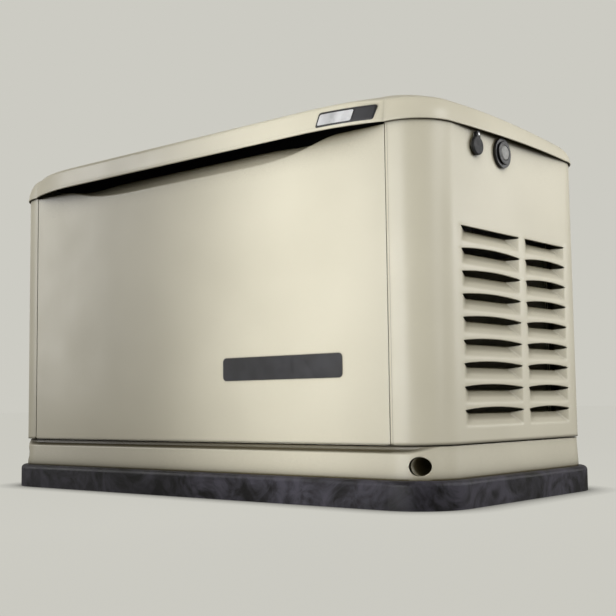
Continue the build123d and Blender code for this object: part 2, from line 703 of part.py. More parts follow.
def crankshaft():
    """Crankshaft and alternator shaft in one line, with the throw and its counterweights."""
    bottom = CASE_BOTTOM + CASE_PLATE - 2
    shaft = rod(axis_point(bottom), (0, 0, 1), FLYWHEEL_Z + 34 - bottom, SHAFT_RADIUS)
    for z in (CYLINDER_Z - 33, CYLINDER_Z + 17):
        web = rod(axis_point(z), (0, 0, 1), 16, 62)
        web -= block(UNIT_X + 26, UNIT_X + 80, UNIT_Y - 80, UNIT_Y + 80, z - 1, z + 17)
        web += Pos(UNIT_X + 20, UNIT_Y, z + 8) * Box(60, 52, 16)
        shaft += web
    shaft -= block(UNIT_X - 80, UNIT_X + 80, UNIT_Y - 80, UNIT_Y + 80, CYLINDER_Z - 17, CYLINDER_Z + 17)
    return shaft + rod((UNIT_X + 32, UNIT_Y, CYLINDER_Z - 18), (0, 0, 1), 36, 16)


def rotor_core():
    """Two-pole rotor on the shaft, with its field windings as side cheeks."""
    radius = STATOR_BORE - AIR_GAP
    core = ring(axis_point(STATOR_BOTTOM), (0, 0, 1), STATOR_HEIGHT, radius, SHAFT_RADIUS)
    for side in (-1, 1):
        middle = (UNIT_X, UNIT_Y + side * radius, STATOR_BOTTOM + STATOR_HEIGHT / 2)
        core -= Pos(*middle) * Box(32, 2 * (radius - ROTOR_SLOT_FLOOR), STATOR_HEIGHT)
    return core


def bladed_disc(z, thickness, radius, hub, blade_count, blade_height):
    """A fan: disc on a hub with upright blades near its rim."""
    disc = rod(axis_point(z), (0, 0, 1), thickness, radius)
    disc += rod(axis_point(z), (0, 0, 1), thickness + 10, hub)
    for index in range(blade_count):
        blade = Pos(0.78 * radius, 0, thickness + blade_height / 2) * (
            Rot(0, 0, 28) * Box(0.36 * radius, 3, blade_height))
        disc += Pos(*axis_point(z)) * (Rot(0, 0, 360 * index / blade_count) * blade)
    return disc - rod(axis_point(z - 1), (0, 0, 1), thickness + 30, SHAFT_RADIUS)


def alternator_fan():
    """Fan above the rotor that draws air through the alternator."""
    return bladed_disc(STATOR_BOTTOM + STATOR_HEIGHT + 8, 4, STATOR_BORE - 6, 26, 12, 14)


def flywheel():
    """Flywheel with cast cooling blades and a toothless ring."""
    return bladed_disc(FLYWHEEL_Z, 14, FLYWHEEL_RADIUS, 32, 18, 30)


# ---- Engine ----
def bank(side, solid):
    """Turn a piece made along +X into one cylinder bank; side is -1 or +1."""
    return Pos(UNIT_X, UNIT_Y, CYLINDER_Z) * (Rot(0, 0, 180 - side * BANK_ANGLE) * solid)


def crankcase():
    """Round crankcase with shaft bores, two cylinder faces and an oil filter boss."""
    case = rod(axis_point(CASE_TOP), (0, 0, 1), CRANKCASE_HEIGHT, CRANKCASE_RADIUS)
    case = fillet(case.edges().sort_by(Axis.Z)[-1], 14)
    case += rod(axis_point(CASE_TOP), (0, 0, 1), 12, CASE_RADIUS + 12)
    for side in (-1, 1):
        case += bank(side, Pos(95, 0, 0) * Box(70, 128, 122))
    case += rod((UNIT_X + 90, UNIT_Y, CASE_TOP + 50), (1, 0, 0), 42, 34)
    case -= rod(axis_point(CASE_TOP + CRANKCASE_WALL), (0, 0, 1), CRANKCASE_HEIGHT - 2 * CRANKCASE_WALL,
                CRANKCASE_RADIUS - CRANKCASE_WALL)
    case -= rod(axis_point(CASE_TOP), (0, 0, 1), CRANKCASE_HEIGHT, SHAFT_RADIUS + RUN_CLEARANCE)
    for side in (-1, 1):
        case -= bank(side, rod((80, 0, 0), (1, 0, 0), 60, CYLINDER_BORE))
    return case


def cylinders():
    """Two finned barrels on the crankcase."""
    solids = []
    length = HEAD_START - 130
    for side in (-1, 1):
        barrel = rod((130, 0, 0), (1, 0, 0), length, CYLINDER_RADIUS)
        for index in range(FIN_COUNT):
            x = 132 + index * (length - 6) / (FIN_COUNT - 1)
            barrel += rod((x, 0, 0), (1, 0, 0), 2.5, FIN_RADIUS) & Pos(x, 0, 0) * Box(20, 130, 130)
        solids.append(bank(side, barrel - rod((130, 0, 0), (1, 0, 0), length, CYLINDER_BORE)))
    return Part() + solids


def cylinder_heads():
    """Two finned heads with inlet faces on top and exhaust faces below."""
    solids = []
    for side in (-1, 1):
        head = Pos(HEAD_START + HEAD_LENGTH / 2, 0, 0) * Box(HEAD_LENGTH, HEAD_WIDTH, HEAD_HEIGHT)
        for index in range(4):
            groove = Pos(HEAD_START + 6 + index * 10, 0, 0) * (
                Box(4, HEAD_WIDTH + 2, HEAD_HEIGHT + 2) - Box(6, HEAD_WIDTH - 24, HEAD_HEIGHT - 24))
            head -= groove
        solids.append(bank(side, head))
    return Part() + solids


def rocker_covers():
    """Two rounded covers on the ends of the heads."""
    solids = []
    start = HEAD_START + HEAD_LENGTH
    for side in (-1, 1):
        cover = Pos(start + COVER_LENGTH / 2, 0, 0) * Box(COVER_LENGTH, HEAD_WIDTH - 22, HEAD_HEIGHT - 18)
        cover = fillet(cover.edges().filter_by(Axis.X), 18)
        cover = fillet(cover.faces().sort_by(Axis.X)[-1].edges(), 7)
        solids.append(bank(side, cover))
    return Part() + solids


def blower_housing():
    """Cover over the flywheel fan, open below on its rim and through the top inlet."""
    top = HOUSING_BOTTOM + HOUSING_HEIGHT
    housing = rod(axis_point(HOUSING_BOTTOM), (0, 0, 1), HOUSING_HEIGHT, HOUSING_RADIUS)
    housing = fillet(housing.edges().sort_by(Axis.Z)[-1], 16)
    housing -= rod(axis_point(HOUSING_BOTTOM), (0, 0, 1), HOUSING_HEIGHT - 2 * HOUSING_WALL,
                   HOUSING_RADIUS - HOUSING_WALL)
    housing -= rod(axis_point(top - 10), (0, 0, 1), 20, INLET_RADIUS)
    for angle in (0, 60, 120):
        bar = Rot(0, 0, angle) * Box(2 * INLET_RADIUS + 6, 5, 3)
        housing += Pos(*axis_point(top - 3)) * bar
    for radius in (35, 70):
        housing += ring(axis_point(top - 4.5), (0, 0, 1), 3, radius + 3, radius - 2)
    for angle in (30, 150, 270):
        leg = Rot(0, 0, angle) * (Pos(HOUSING_RADIUS - 30, 0, -7) * Box(62, 26, 26))
        leg -= Rot(0, 0, angle) * (Pos(HOUSING_RADIUS - 30, 0, -14) * Box(30, 30, 16))
        drum = rod(axis_point(HOUSING_BOTTOM - 20), (0, 0, 1), 26, HOUSING_RADIUS)
        housing += Pos(*axis_point(HOUSING_BOTTOM)) * leg & drum
    return housing - rod(axis_point(HOUSING_BOTTOM), (0, 0, 1), 60, FLYWHEEL_RADIUS + 6)


def air_cleaner():
    """Rounded air filter box on top of the mixer."""
    z = AIR_BOX_BOTTOM
    box = block(MIXER_X - 62, MIXER_X + 32, UNIT_Y - 128, UNIT_Y + 128, z, z + 116)
    box = fillet(box.edges().filter_by(Axis.Z), 24)
    lip = block(MIXER_X - 65, MIXER_X + 35, UNIT_Y - 131, UNIT_Y + 131, z + 70, z + 76)
    box += fillet(lip.edges().filter_by(Axis.Z), 26)
    return fillet(box.faces().sort_by(Axis.Z)[-1].edges(), 8)


def intake_manifold():
    """Cross tube between the heads, with a drop at each end and a flange for the mixer."""
    z = MANIFOLD_Z
    top = CYLINDER_Z + HEAD_HEIGHT / 2
    tube = rod((MIXER_X, UNIT_Y - PORT_SPREAD - 18, z), (0, 1, 0), 2 * PORT_SPREAD + 36, 18)
    for side in (-1, 1):
        y = UNIT_Y + side * PORT_SPREAD
        tube += rod((MIXER_X, y, top), (0, 0, 1), z - top, 18)
        tube += rod((MIXER_X, y, top), (0, 0, 1), 6, 25)
    tube += rod((MIXER_X, UNIT_Y, z), (0, 0, 1), MIXER_Z - z, 20)
    return tube


def mixer_body():
    """Gas mixer and throttle body with a bore, a throttle shaft hole and a gas port."""
    length = AIR_BOX_BOTTOM - MIXER_Z
    body = rod((MIXER_X, UNIT_Y, MIXER_Z), (0, 0, 1), length, 27)
    body += rod((MIXER_X, UNIT_Y + 20, GAS_PORT_Z), (0, 1, 0), 24, 13)
    body -= rod((MIXER_X, UNIT_Y, MIXER_Z), (0, 0, 1), length, THROTTLE_BORE)
    body -= rod((MIXER_X, UNIT_Y - 40, THROTTLE_Z), (0, 1, 0), 80, 4 + RUN_CLEARANCE)
    return body


def throttle_lever():
    """Throttle plate, its shaft and the lever on the outside."""
    y = UNIT_Y - 27
    shaft = rod((MIXER_X, UNIT_Y - 38, THROTTLE_Z), (0, 1, 0), 62, 4)
    plate = rod((MIXER_X, UNIT_Y, THROTTLE_Z - 1), (0, 0, 1), 2, THROTTLE_BORE - 1)
    lever = block(MIXER_X - 5, MIXER_X + 25, y - 6, y - 2, THROTTLE_Z - 5, THROTTLE_Z + 5)
    return shaft + plate + lever


def oil_filter():
    """Spin-on oil filter on the crankcase boss."""
    x = UNIT_X + 132
    canister = rod((x, UNIT_Y, CASE_TOP + 50), (1, 0, 0), 78, 38)
    return fillet(canister.edges().sort_by(Axis.X)[-1], 10)


def starter_motor():
    """Starter motor beside the crankcase, with its solenoid."""
    x, y = UNIT_X + 132, UNIT_Y + 128
    motor = rod((x, y, CASE_TOP + 14), (0, 0, 1), 130, 36)
    motor += rod((x + 10, y + 52, CASE_TOP + 40), (0, 0, 1), 74, 20)
    motor += block(x, x + 20, y + 20, y + 45, CASE_TOP + 60, CASE_TOP + 90)
    return fillet(motor.edges().filter_by(GeomType.CIRCLE).sort_by(Axis.Z)[-1], 6)


def spark_plugs():
    """Plug and boot standing in the top of each head."""
    solids = []
    for side in (-1, 1):
        place = (HEAD_START + 26, -side * 44, HEAD_HEIGHT / 2)
        plug = rod(place, (0, 0, 1), 10, 10) + rod(place, (0, 0, 1), 46, 7)
        plug += rod((place[0], place[1], place[2] + 22), (0, 0, 1), 30, 9)
        solids.append(bank(side, plug))
    return Part() + solids


def exhaust_pipes():
    """A pipe from under each head, through the bulkhead to the muffler."""
    pipes = []
    top = CYLINDER_Z - HEAD_HEIGHT / 2
    for side in (-1, 1):
        y = UNIT_Y + side * EXHAUST_SPREAD
        points = [(EXHAUST_X, y, top), (EXHAUST_X, y, EXHAUST_Z), (MUFFLER_X1, y, EXHAUST_Z)]
        pipes.append(bent_tube(points, 32, 16) + rod((EXHAUST_X, y, top - 8), (0, 0, 1), 8, 21))
    return Part() + pipes


def muffler():
    """Rounded muffler box on two legs with a tail pipe towards the end louvres."""
    half = MUFFLER_WIDTH / 2
    box = block(MUFFLER_X0, MUFFLER_X1, UNIT_Y - half, UNIT_Y + half, EXHAUST_Z - 75, EXHAUST_Z + 75)
    box = fillet(box.edges().filter_by(Axis.Y), 40)
    for y in (-half, half - 8):
        seam = block(MUFFLER_X0 - 4, MUFFLER_X1, UNIT_Y + y, UNIT_Y + y + 8, EXHAUST_Z - 79, EXHAUST_Z + 79)
        box += fillet(seam.edges().filter_by(Axis.Y), 42)
    for y in (-120, 90):
        box += block(MUFFLER_X0 + 60, MUFFLER_X1 - 60, UNIT_Y + y, UNIT_Y + y + 30, FLOOR, EXHAUST_Z - 70)
    tail = ring((MUFFLER_X0 + 10, UNIT_Y - 60, EXHAUST_Z), (-1, 0, 0), 50, 22, 19)
    return box + tail


# ---- Gas supply ----
def gas_inlet():
    """Inlet stub through the rear panel with a hexagon collar and a threaded bore."""
    start = (GAS_X, Y_BACK + 14, GAS_Z)
    stub = rod(start, (0, -1, 0), 60, GAS_FLANGE_BORE - 1)
    collar = Plane(origin=(GAS_X, Y_BACK + 3, GAS_Z), z_dir=(0, 1, 0)) * RegularPolygon(24, 6)
    stub += extrude(collar, 8)
    stub += rod((GAS_X, Y_BACK - 46, GAS_Z), (0, 0, 1), REGULATOR_Z - 40 - GAS_Z, 12)
    return stub - rod(start, (0, -1, 0), GAS_BORE_LENGTH, GAS_BORE)


def fuel_regulator():
    """Round demand regulator with its valve block above the inlet stub."""
    y = Y_BACK - 46
    body = rod((GAS_X, y - 25, REGULATOR_Z + 20), (0, 1, 0), 50, 55)
    body = fillet(body.edges().filter_by(GeomType.CIRCLE), 8)
    body += ring((GAS_X, y - 4, REGULATOR_Z + 20), (0, 1, 0), 8, 60, 40)
    body += block(GAS_X - 22, GAS_X + 22, y - 20, y + 20, REGULATOR_Z - 60 + 20, REGULATOR_Z)
    body += rod((GAS_X, y, REGULATOR_Z + 70), (0, 0, 1), 20, 14)
    return body - rod((GAS_X, y - 26, REGULATOR_Z + 20), (0, 1, 0), 12, 4 + RUN_CLEARANCE)


def fuel_selector():
    """Selector knob on the front of the regulator."""
    y = Y_BACK - 46 - 25
    place = Plane(origin=(GAS_X, y - 1, REGULATOR_Z + 20), z_dir=(0, -1, 0))
    knob = extrude(place * RegularPolygon(13, 8), 9)
    knob += block(GAS_X - 3, GAS_X + 3, y - 15, y - 9, REGULATOR_Z + 8, REGULATOR_Z + 32)
    return knob + rod((GAS_X, y - 2, REGULATOR_Z + 20), (0, 1, 0), 12, 4)


def fuel_hose():
    """Rubber hose from the regulator across the rear to the mixer's gas port."""
    y = Y_BACK - 46
    start_z = REGULATOR_Z + 90
    points = [(GAS_X, y, start_z), (GAS_X, y, GAS_PORT_Z), (-90, y, GAS_PORT_Z),
              (MIXER_X, y - 80, GAS_PORT_Z), (MIXER_X, UNIT_Y + 44, GAS_PORT_Z)]
    return bent_tube(points, 45, 11)


# ---- Control and battery bay ----
def control_box():
    """Sheet-metal housing of the controls."""
    box = block(*CONTROL_X, *CONTROL_Y, CONTROL_BOTTOM, CONTROL_TOP)
    box = fillet(box.edges().filter_by(Axis.Z), 10)
    inner = block(CONTROL_X[0] + SKIN, CONTROL_X[1] - SKIN, CONTROL_Y[0] + SKIN, CONTROL_Y[1] - SKIN,
                  CONTROL_BOTTOM + SKIN, CONTROL_TOP - SKIN)
    box -= inner
    for x in (CONTROL_X[0] + 10, X_SEAM - 40):
        box += block(x, x + 20, CONTROL_Y[1] - 4, Y_BACK - SKIN, CONTROL_BOTTOM + 30, CONTROL_BOTTOM + 33)
    return box


def controller_panel():
    """Key panel with a recessed display window and three button wells."""
    x0, y0 = CONTROL_X[0] + 15, CONTROL_Y[0] + 20
    panel = block(x0, x0 + 150, y0, y0 + 200, CONTROL_TOP, CONTROL_TOP + 10)
    panel = fillet(panel.edges().filter_by(Axis.Z), 8)
    panel -= block(x0 + 25, x0 + 125, y0 + 110, y0 + 175, CONTROL_TOP + 7, CONTROL_TOP + 11)
    for x, y in button_places():
        panel -= rod((x, y, CONTROL_TOP + 3), (0, 0, 1), 10, BUTTON_RADIUS + 0.3)
    return panel


def button_places():
    """Centres of the three push buttons."""
    x0, y0 = CONTROL_X[0] + 15, CONTROL_Y[0] + 20
    return [(x0 + 35 + index * 40, y0 + 45) for index in range(3)]


def button(index):
    """One round push button, standing clear of its well's floor."""
    x, y = button_places()[index]
    cap = rod((x, y, CONTROL_TOP + 3 + BUTTON_TRAVEL + 0.5), (0, 0, 1), 8, BUTTON_RADIUS)
    return fillet(cap.edges().sort_by(Axis.Z)[-1], 1.5)


def main_breaker():
    """Moulded circuit breaker with a slot for its lever."""
    x, y = BREAKER_PLACE
    body = block(x - 38, x + 38, y - 50, y + 50, CONTROL_TOP, CONTROL_TOP + 18)
    body = fillet(body.edges().filter_by(Axis.Z), 4)
    body -= block(x - 12, x + 12, y - 26, y + 26, CONTROL_TOP + 4, CONTROL_TOP + 19)
    return body - rod((x - 20, y, CONTROL_TOP + 11), (1, 0, 0), 40, 3 + RUN_CLEARANCE)


def breaker_lever():
    """Rocking breaker lever on its cross pin, leaning to the on side."""
    x, y = BREAKER_PLACE
    z = CONTROL_TOP + 11
    lever = rod((x - 19, y, z), (1, 0, 0), 38, 3) + rod((x - 10, y, z), (1, 0, 0), 20, 6.5)
    arm = Pos(x, y, z) * (Rot(BREAKER_SWING / 2, 0, 0) * (Pos(0, 0, 11) * Box(20, 7, 22)))
    return lever + arm


def battery():
    """Starter battery with a stepped top and two posts."""
    x0, y0, z0 = BATTERY_CORNER
    case = block(x0, x0 + 206, y0, y0 + 172, z0, z0 + 176)
    case = fillet(case.edges().filter_by(Axis.Z), 6)
    case += block(x0 + 4, x0 + 202, y0 + 4, y0 + 168, z0 + 176, z0 + 182)
    case += block(x0 + 50, x0 + 156, y0 + 30, y0 + 142, z0 + 182, z0 + 190)
    for x in (x0 + 26, x0 + 180):
        case += rod((x, y0 + 146, z0 + 182), (0, 0, 1), 16, 8.5)
    return case


def battery_leads():
    """Two battery leads with clamp rings, up to the underside of the control box."""
    x0, y0, z0 = BATTERY_CORNER
    leads = []
    y = y0 + 146
    for x, end in ((x0 + 26, x0 + 66), (x0 + 180, x0 + 140)):
        clamp = ring((x, y, z0 + 184), (0, 0, 1), 12, 14, 8.5)
        points = [(x, y + 12, z0 + 190), (x, y + 60, z0 + 190), (end, y + 90, z0 + 240),
                  (end, y + 90, CONTROL_BOTTOM)]
        leads.append(clamp + bent_tube(points, 22, 5))
    return Part() + leads


os.makedirs("parts", exist_ok=True)
RIGHT_LOCK = lock_body()
RIGHT_END = end_panel()
NODES = {
    "pad": pad(), "base_tray": base_tray(),
    "left_end_panel": mirrored(RIGHT_END), "right_end_panel": right_end_panel(),
    "back_panel": back_panel(), "panel_screws": panel_screws(),
    "front_panel": front_panel(), "panel_label": panel_label(),
    "lid": lid(), "lid_liner": lid_liner(), "badge_plate": badge_plate(), "lid_keepers": lid_keepers(),
    "hinge_leaves_fixed": fixed_leaves(), "hinge_leaves_lid": lid_leaves(), "hinge_pins": hinge_pins(),
    "lock_bodies": Part() + [RIGHT_LOCK, mirrored(RIGHT_LOCK)],
    "latch_right": latch(), "latch_left": mirrored(latch()),
    "lock_cover_right": lock_cover(), "lock_cover_left": mirrored(lock_cover()),
    "status_bezel": status_bezel(), "status_lens": status_lens(),
    "left_bulkhead": left_bulkhead(), "right_bulkhead": right_bulkhead(),
    "vibration_mounts": vibration_mounts(), "alternator_case": alternator_case(),
    "stator_core": stator_core(), "stator_windings": stator_windings(), "lower_bearing": lower_bearing(),
    "crankshaft": crankshaft(), "rotor_core": rotor_core(), "alternator_fan": alternator_fan(),
    "flywheel": flywheel(), "crankcase": crankcase(), "cylinders": cylinders(),
    "cylinder_heads": cylinder_heads(), "rocker_covers": rocker_covers(),
    "blower_housing": blower_housing(), "air_cleaner": air_cleaner(), "intake_manifold": intake_manifold(),
    "mixer_body": mixer_body(), "throttle_lever": throttle_lever(), "oil_filter": oil_filter(),
    "starter_motor": starter_motor(), "spark_plugs": spark_plugs(), "exhaust_pipes": exhaust_pipes(),
    "muffler": muffler(), "gas_inlet": gas_inlet(), "fuel_regulator": fuel_regulator(),
    "fuel_selector": fuel_selector(), "fuel_hose": fuel_hose(),
    "control_box": control_box(), "controller_panel": controller_panel(),
    "main_breaker": main_breaker(), "breaker_lever": breaker_lever(),
    "battery": battery(), "battery_leads": battery_leads(),
}
for number, name in enumerate(("auto", "off", "manual")):
    NODES["button_" + name] = button(number)
for node, shape in NODES.items():
    write(shape, node)
print(len(NODES), "nodes")
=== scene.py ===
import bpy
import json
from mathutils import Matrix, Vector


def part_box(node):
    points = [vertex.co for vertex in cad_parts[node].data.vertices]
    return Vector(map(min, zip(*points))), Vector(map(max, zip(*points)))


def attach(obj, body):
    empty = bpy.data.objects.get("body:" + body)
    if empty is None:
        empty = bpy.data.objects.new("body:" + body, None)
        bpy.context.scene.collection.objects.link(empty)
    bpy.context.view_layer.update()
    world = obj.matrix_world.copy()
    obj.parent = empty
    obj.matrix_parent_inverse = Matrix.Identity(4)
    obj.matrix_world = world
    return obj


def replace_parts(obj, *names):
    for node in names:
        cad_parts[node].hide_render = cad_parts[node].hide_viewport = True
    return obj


bl_info = {
    "name": "Home standby generator",
    "version": (1, 0, 0),
    "blender": (4, 5, 0),
    "location": "3D view > Sidebar > Generator",
    "description": "Builds the sheet-metal skin, the finishes and the studio round a packed generator",
    "category": "Add Mesh",
}

import json
import math

import bpy
import numpy as np
from mathutils import Matrix, Vector

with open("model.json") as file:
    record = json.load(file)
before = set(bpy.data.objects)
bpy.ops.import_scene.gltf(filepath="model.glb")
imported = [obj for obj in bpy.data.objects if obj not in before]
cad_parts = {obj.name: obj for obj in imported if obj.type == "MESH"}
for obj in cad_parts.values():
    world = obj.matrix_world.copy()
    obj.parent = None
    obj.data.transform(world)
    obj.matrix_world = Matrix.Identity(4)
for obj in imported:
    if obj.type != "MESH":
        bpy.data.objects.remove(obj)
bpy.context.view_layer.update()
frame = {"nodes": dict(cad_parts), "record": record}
MM = 0.001


def corner(node, end, axis):
    """One coordinate of a node's box: end 0 is its low corner and 1 its high corner."""
    return float(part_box(node)[end][axis])


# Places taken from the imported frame, in metres.
SIDE = corner("base_tray", 1, 0)
FRONT = corner("base_tray", 0, 1)
BACK = corner("base_tray", 1, 1)
MIDDLE = (FRONT + BACK) / 2
PANEL_LOW = corner("front_panel", 0, 2)
PANEL_HIGH = corner("front_panel", 1, 2)
PANEL_EDGE = corner("front_panel", 1, 0)
END_HIGH = corner("right_end_panel", 1, 2)
END_EDGE = corner("right_end_panel", 0, 0)
LID_LOW = corner("lid", 0, 2)
LID_HIGH = corner("lid", 1, 2)
LID_NOSE = FRONT - corner("lid", 0, 1)
LID_OVER = corner("lid", 1, 1) - BACK
LID_BOW = corner("lid", 1, 0) - SIDE - LID_OVER


# ---------------------------------------------------------------- settings
class SheetSettings(bpy.types.PropertyGroup):
    """Sizes of the pressed sheet-metal skin."""
    corner_radius: bpy.props.FloatProperty(
        name="Corner radius", description="Radius of the enclosure's upright corners",
        default=86 * MM, unit="LENGTH")
    skin: bpy.props.FloatProperty(
        name="Skin", description="Thickness of the sheet", default=2 * MM, unit="LENGTH")
    flange: bpy.props.FloatProperty(
        name="Seam flange", description="Depth of the returned edge at a seam",
        default=14 * MM, unit="LENGTH")
    louvre_pitch: bpy.props.FloatProperty(
        name="Louvre pitch", description="Height from one louvre to the next",
        default=41 * MM, unit="LENGTH")
    louvre_height: bpy.props.FloatProperty(
        name="Louvre height", description="Height of one louvre", default=30 * MM, unit="LENGTH")
    louvre_depth: bpy.props.FloatProperty(
        name="Louvre depth", description="How far a louvre is pressed in", default=15 * MM,
        unit="LENGTH")
    louvre_low: bpy.props.FloatProperty(
        name="Lowest louvre", description="Height of the lowest louvre's bottom edge",
        default=138 * MM, unit="LENGTH")
    vent_drop: bpy.props.FloatProperty(
        name="Vent drop", description="Depth of the scoop in the front panel's top edge",
        default=28 * MM, unit="LENGTH")


class FinishSettings(bpy.types.PropertyGroup):
    """Colours a user would change, as sRGB hex text."""
    coat: bpy.props.StringProperty(
        name="Enclosure", description="Colour of the powder coat", default="D9D4C0")
    pad: bpy.props.StringProperty(
        name="Pad", description="Colour of the moulded pad", default="222126")
    backdrop: bpy.props.StringProperty(
        name="Backdrop", description="Colour of the floor and backdrop", default="CCCBC3")


def sheet():
    """The sheet-metal sizes."""
    return bpy.context.scene.generator_sheet


def finishes():
    """The finish colours."""
    return bpy.context.scene.generator_finish


# ---------------------------------------------------------------- mesh helpers
def grid_object(name, points, keep=None, wrap=False, cap=False):
    """A mesh from a grid of points (rows, columns, 3), one quad per cell that keep marks.

    With wrap the last column joins the first, and with cap one face fills the last row.
    Doubled points are merged, and the faces that this flattens are dropped."""
    rows, columns = points.shape[:2]
    index = np.arange(rows * columns).reshape(rows, columns)
    nxt = np.roll(index, -1, axis=1) if wrap else index[:, 1:]
    here = index if wrap else index[:, :-1]
    quads = np.stack([here[:-1], nxt[:-1], nxt[1:], here[1:]], axis=-1)
    if keep is not None:
        quads = quads[keep]
    quads = quads.reshape(-1, 4)
    flat = np.round(points.reshape(-1, 3), 6)
    unique, inverse = np.unique(flat, axis=0, return_inverse=True)
    quads = inverse.reshape(-1)[quads]
    loops = quads.tolist()
    if cap:
        loops.append(inverse.reshape(-1)[index[-1]].tolist())
    faces = []
    for quad in loops:
        ring = [v for i, v in enumerate(quad) if v != quad[i - 1]]
        if len(set(ring)) >= 3:
            faces.append(ring)
    mesh = bpy.data.meshes.new(name)
    mesh.from_pydata(unique.tolist(), [], faces)
    mesh.update()
    made = bpy.data.objects.new(name, mesh)
    bpy.context.scene.collection.objects.link(made)
    return made


def smooth(piece, degrees):
    """Shade smooth, with edges sharper than an angle kept sharp."""
    piece.data.polygons.foreach_set("use_smooth", [True] * len(piece.data.polygons))
    piece.data.set_sharp_from_angle(angle=math.radians(degrees))
    return piece


def thicken(piece, thickness):
    """Give a skin its thickness, inwards from its outer face."""
    solid = piece.modifiers.new("Thickness", "SOLIDIFY")
    solid.thickness = thickness
    solid.offset = -1.0
    solid.use_quality_normals = True
    return piece


def dress(piece, material):
    """Put one material on a piece."""
    piece.data.materials.clear()
    piece.data.materials.append(material)
    return piece


def ease(t):
    """Smooth step from 0 to 1: t squared times (3 - 2t)."""
    t = np.clip(t, 0.0, 1.0)
    return t * t * (3 - 2 * t)


def between(value, start, end):
    """Smooth step from 0 at start to 1 at end."""
    return ease((value - start) / (end - start))


def arc(centre, radius, start, end, count):
    """Points of a circular arc in plan, angles in degrees."""
    angle = np.radians(np.linspace(start, end, count))
    return np.stack([centre[0] + radius * np.cos(angle), centre[1] + radius * np.sin(angle)], axis=1)


def straight(start, end, count):
    """Evenly spaced points of a line in plan."""
    return np.linspace(start, end, count)


# ---------------------------------------------------------------- pressed sheet pieces
# Louvre columns run between these places behind the front face.
LOUVRE_COLUMNS = ((102 * MM, 311 * MM), (331 * MM, 496 * MM))
LOUVRE_ROWS = 9
# Length of a louvre's sloping cheek, height of its slot, and how far its top edge arches.
LOUVRE_CHEEK = 34 * MM
LOUVRE_SLOT = 5.4 * MM
LOUVRE_ARCH = 5 * MM
# Shares of a slope that its soft start takes, on the cheeks and on the face.
CHEEK_SOFT = 0.12
FACE_SOFT = 0.22
# Outer radius of a rolled sheet edge.
EDGE_ROUND = 1.6 * MM
# A point this close to a line, in metres, counts as on it.
NEAR = 1e-6


def end_plan(settings):
    """Plan path of the right end panel, from the front seam's flange round to the rear seam's.

    Also gives, for each point, its place along a louvre column in metres from each end of
    the column (both negative outside the columns)."""
    radius = settings.corner_radius
    arc_x = SIDE - radius
    parts = [
        straight((END_EDGE, FRONT + settings.flange), (END_EDGE, FRONT + EDGE_ROUND), 4),
        arc((END_EDGE + EDGE_ROUND, FRONT + EDGE_ROUND), EDGE_ROUND, 180, 270, 5),
        arc((arc_x, FRONT + radius), radius, -90, 0, 33),
    ]
    for near, far in LOUVRE_COLUMNS:
        parts.append(straight((SIDE, FRONT + near), (SIDE, FRONT + far), 76))
    parts.append(arc((arc_x, BACK - radius), radius, 0, 90, 33))
    parts.append(arc((END_EDGE + EDGE_ROUND, BACK - EDGE_ROUND), EDGE_ROUND, 90, 180, 5))
    parts.append(straight((END_EDGE, BACK - EDGE_ROUND), (END_EDGE, BACK - settings.flange), 4))
    path = np.concatenate(parts)
    behind = np.where(np.abs(path[:, 0] - SIDE) < NEAR, path[:, 1] - FRONT, -1.0)
    from_near, from_far = np.full(len(path), -1.0), np.full(len(path), -1.0)
    for near, far in LOUVRE_COLUMNS:
        inside = (behind > near - NEAR) & (behind < far + NEAR)
        from_near = np.where(inside, behind - near, from_near)
        from_far = np.where(inside, far - behind, from_far)
    return path, from_near, from_far


def bend(x, soft):
    """A slope of 1 that starts softly: x squared over 2 soft up to soft, then x less half of soft."""
    x = np.maximum(x, 0.0)
    return np.where(x < soft, x * x / (2 * soft), x - soft / 2)


def soft_least(a, b, soft):
    """The smaller of two values, with the corner between them rounded."""
    h = np.clip(0.5 + 0.5 * (b - a) / soft, 0.0, 1.0)
    return b * (1 - h) + a * h - soft * h * (1 - h)


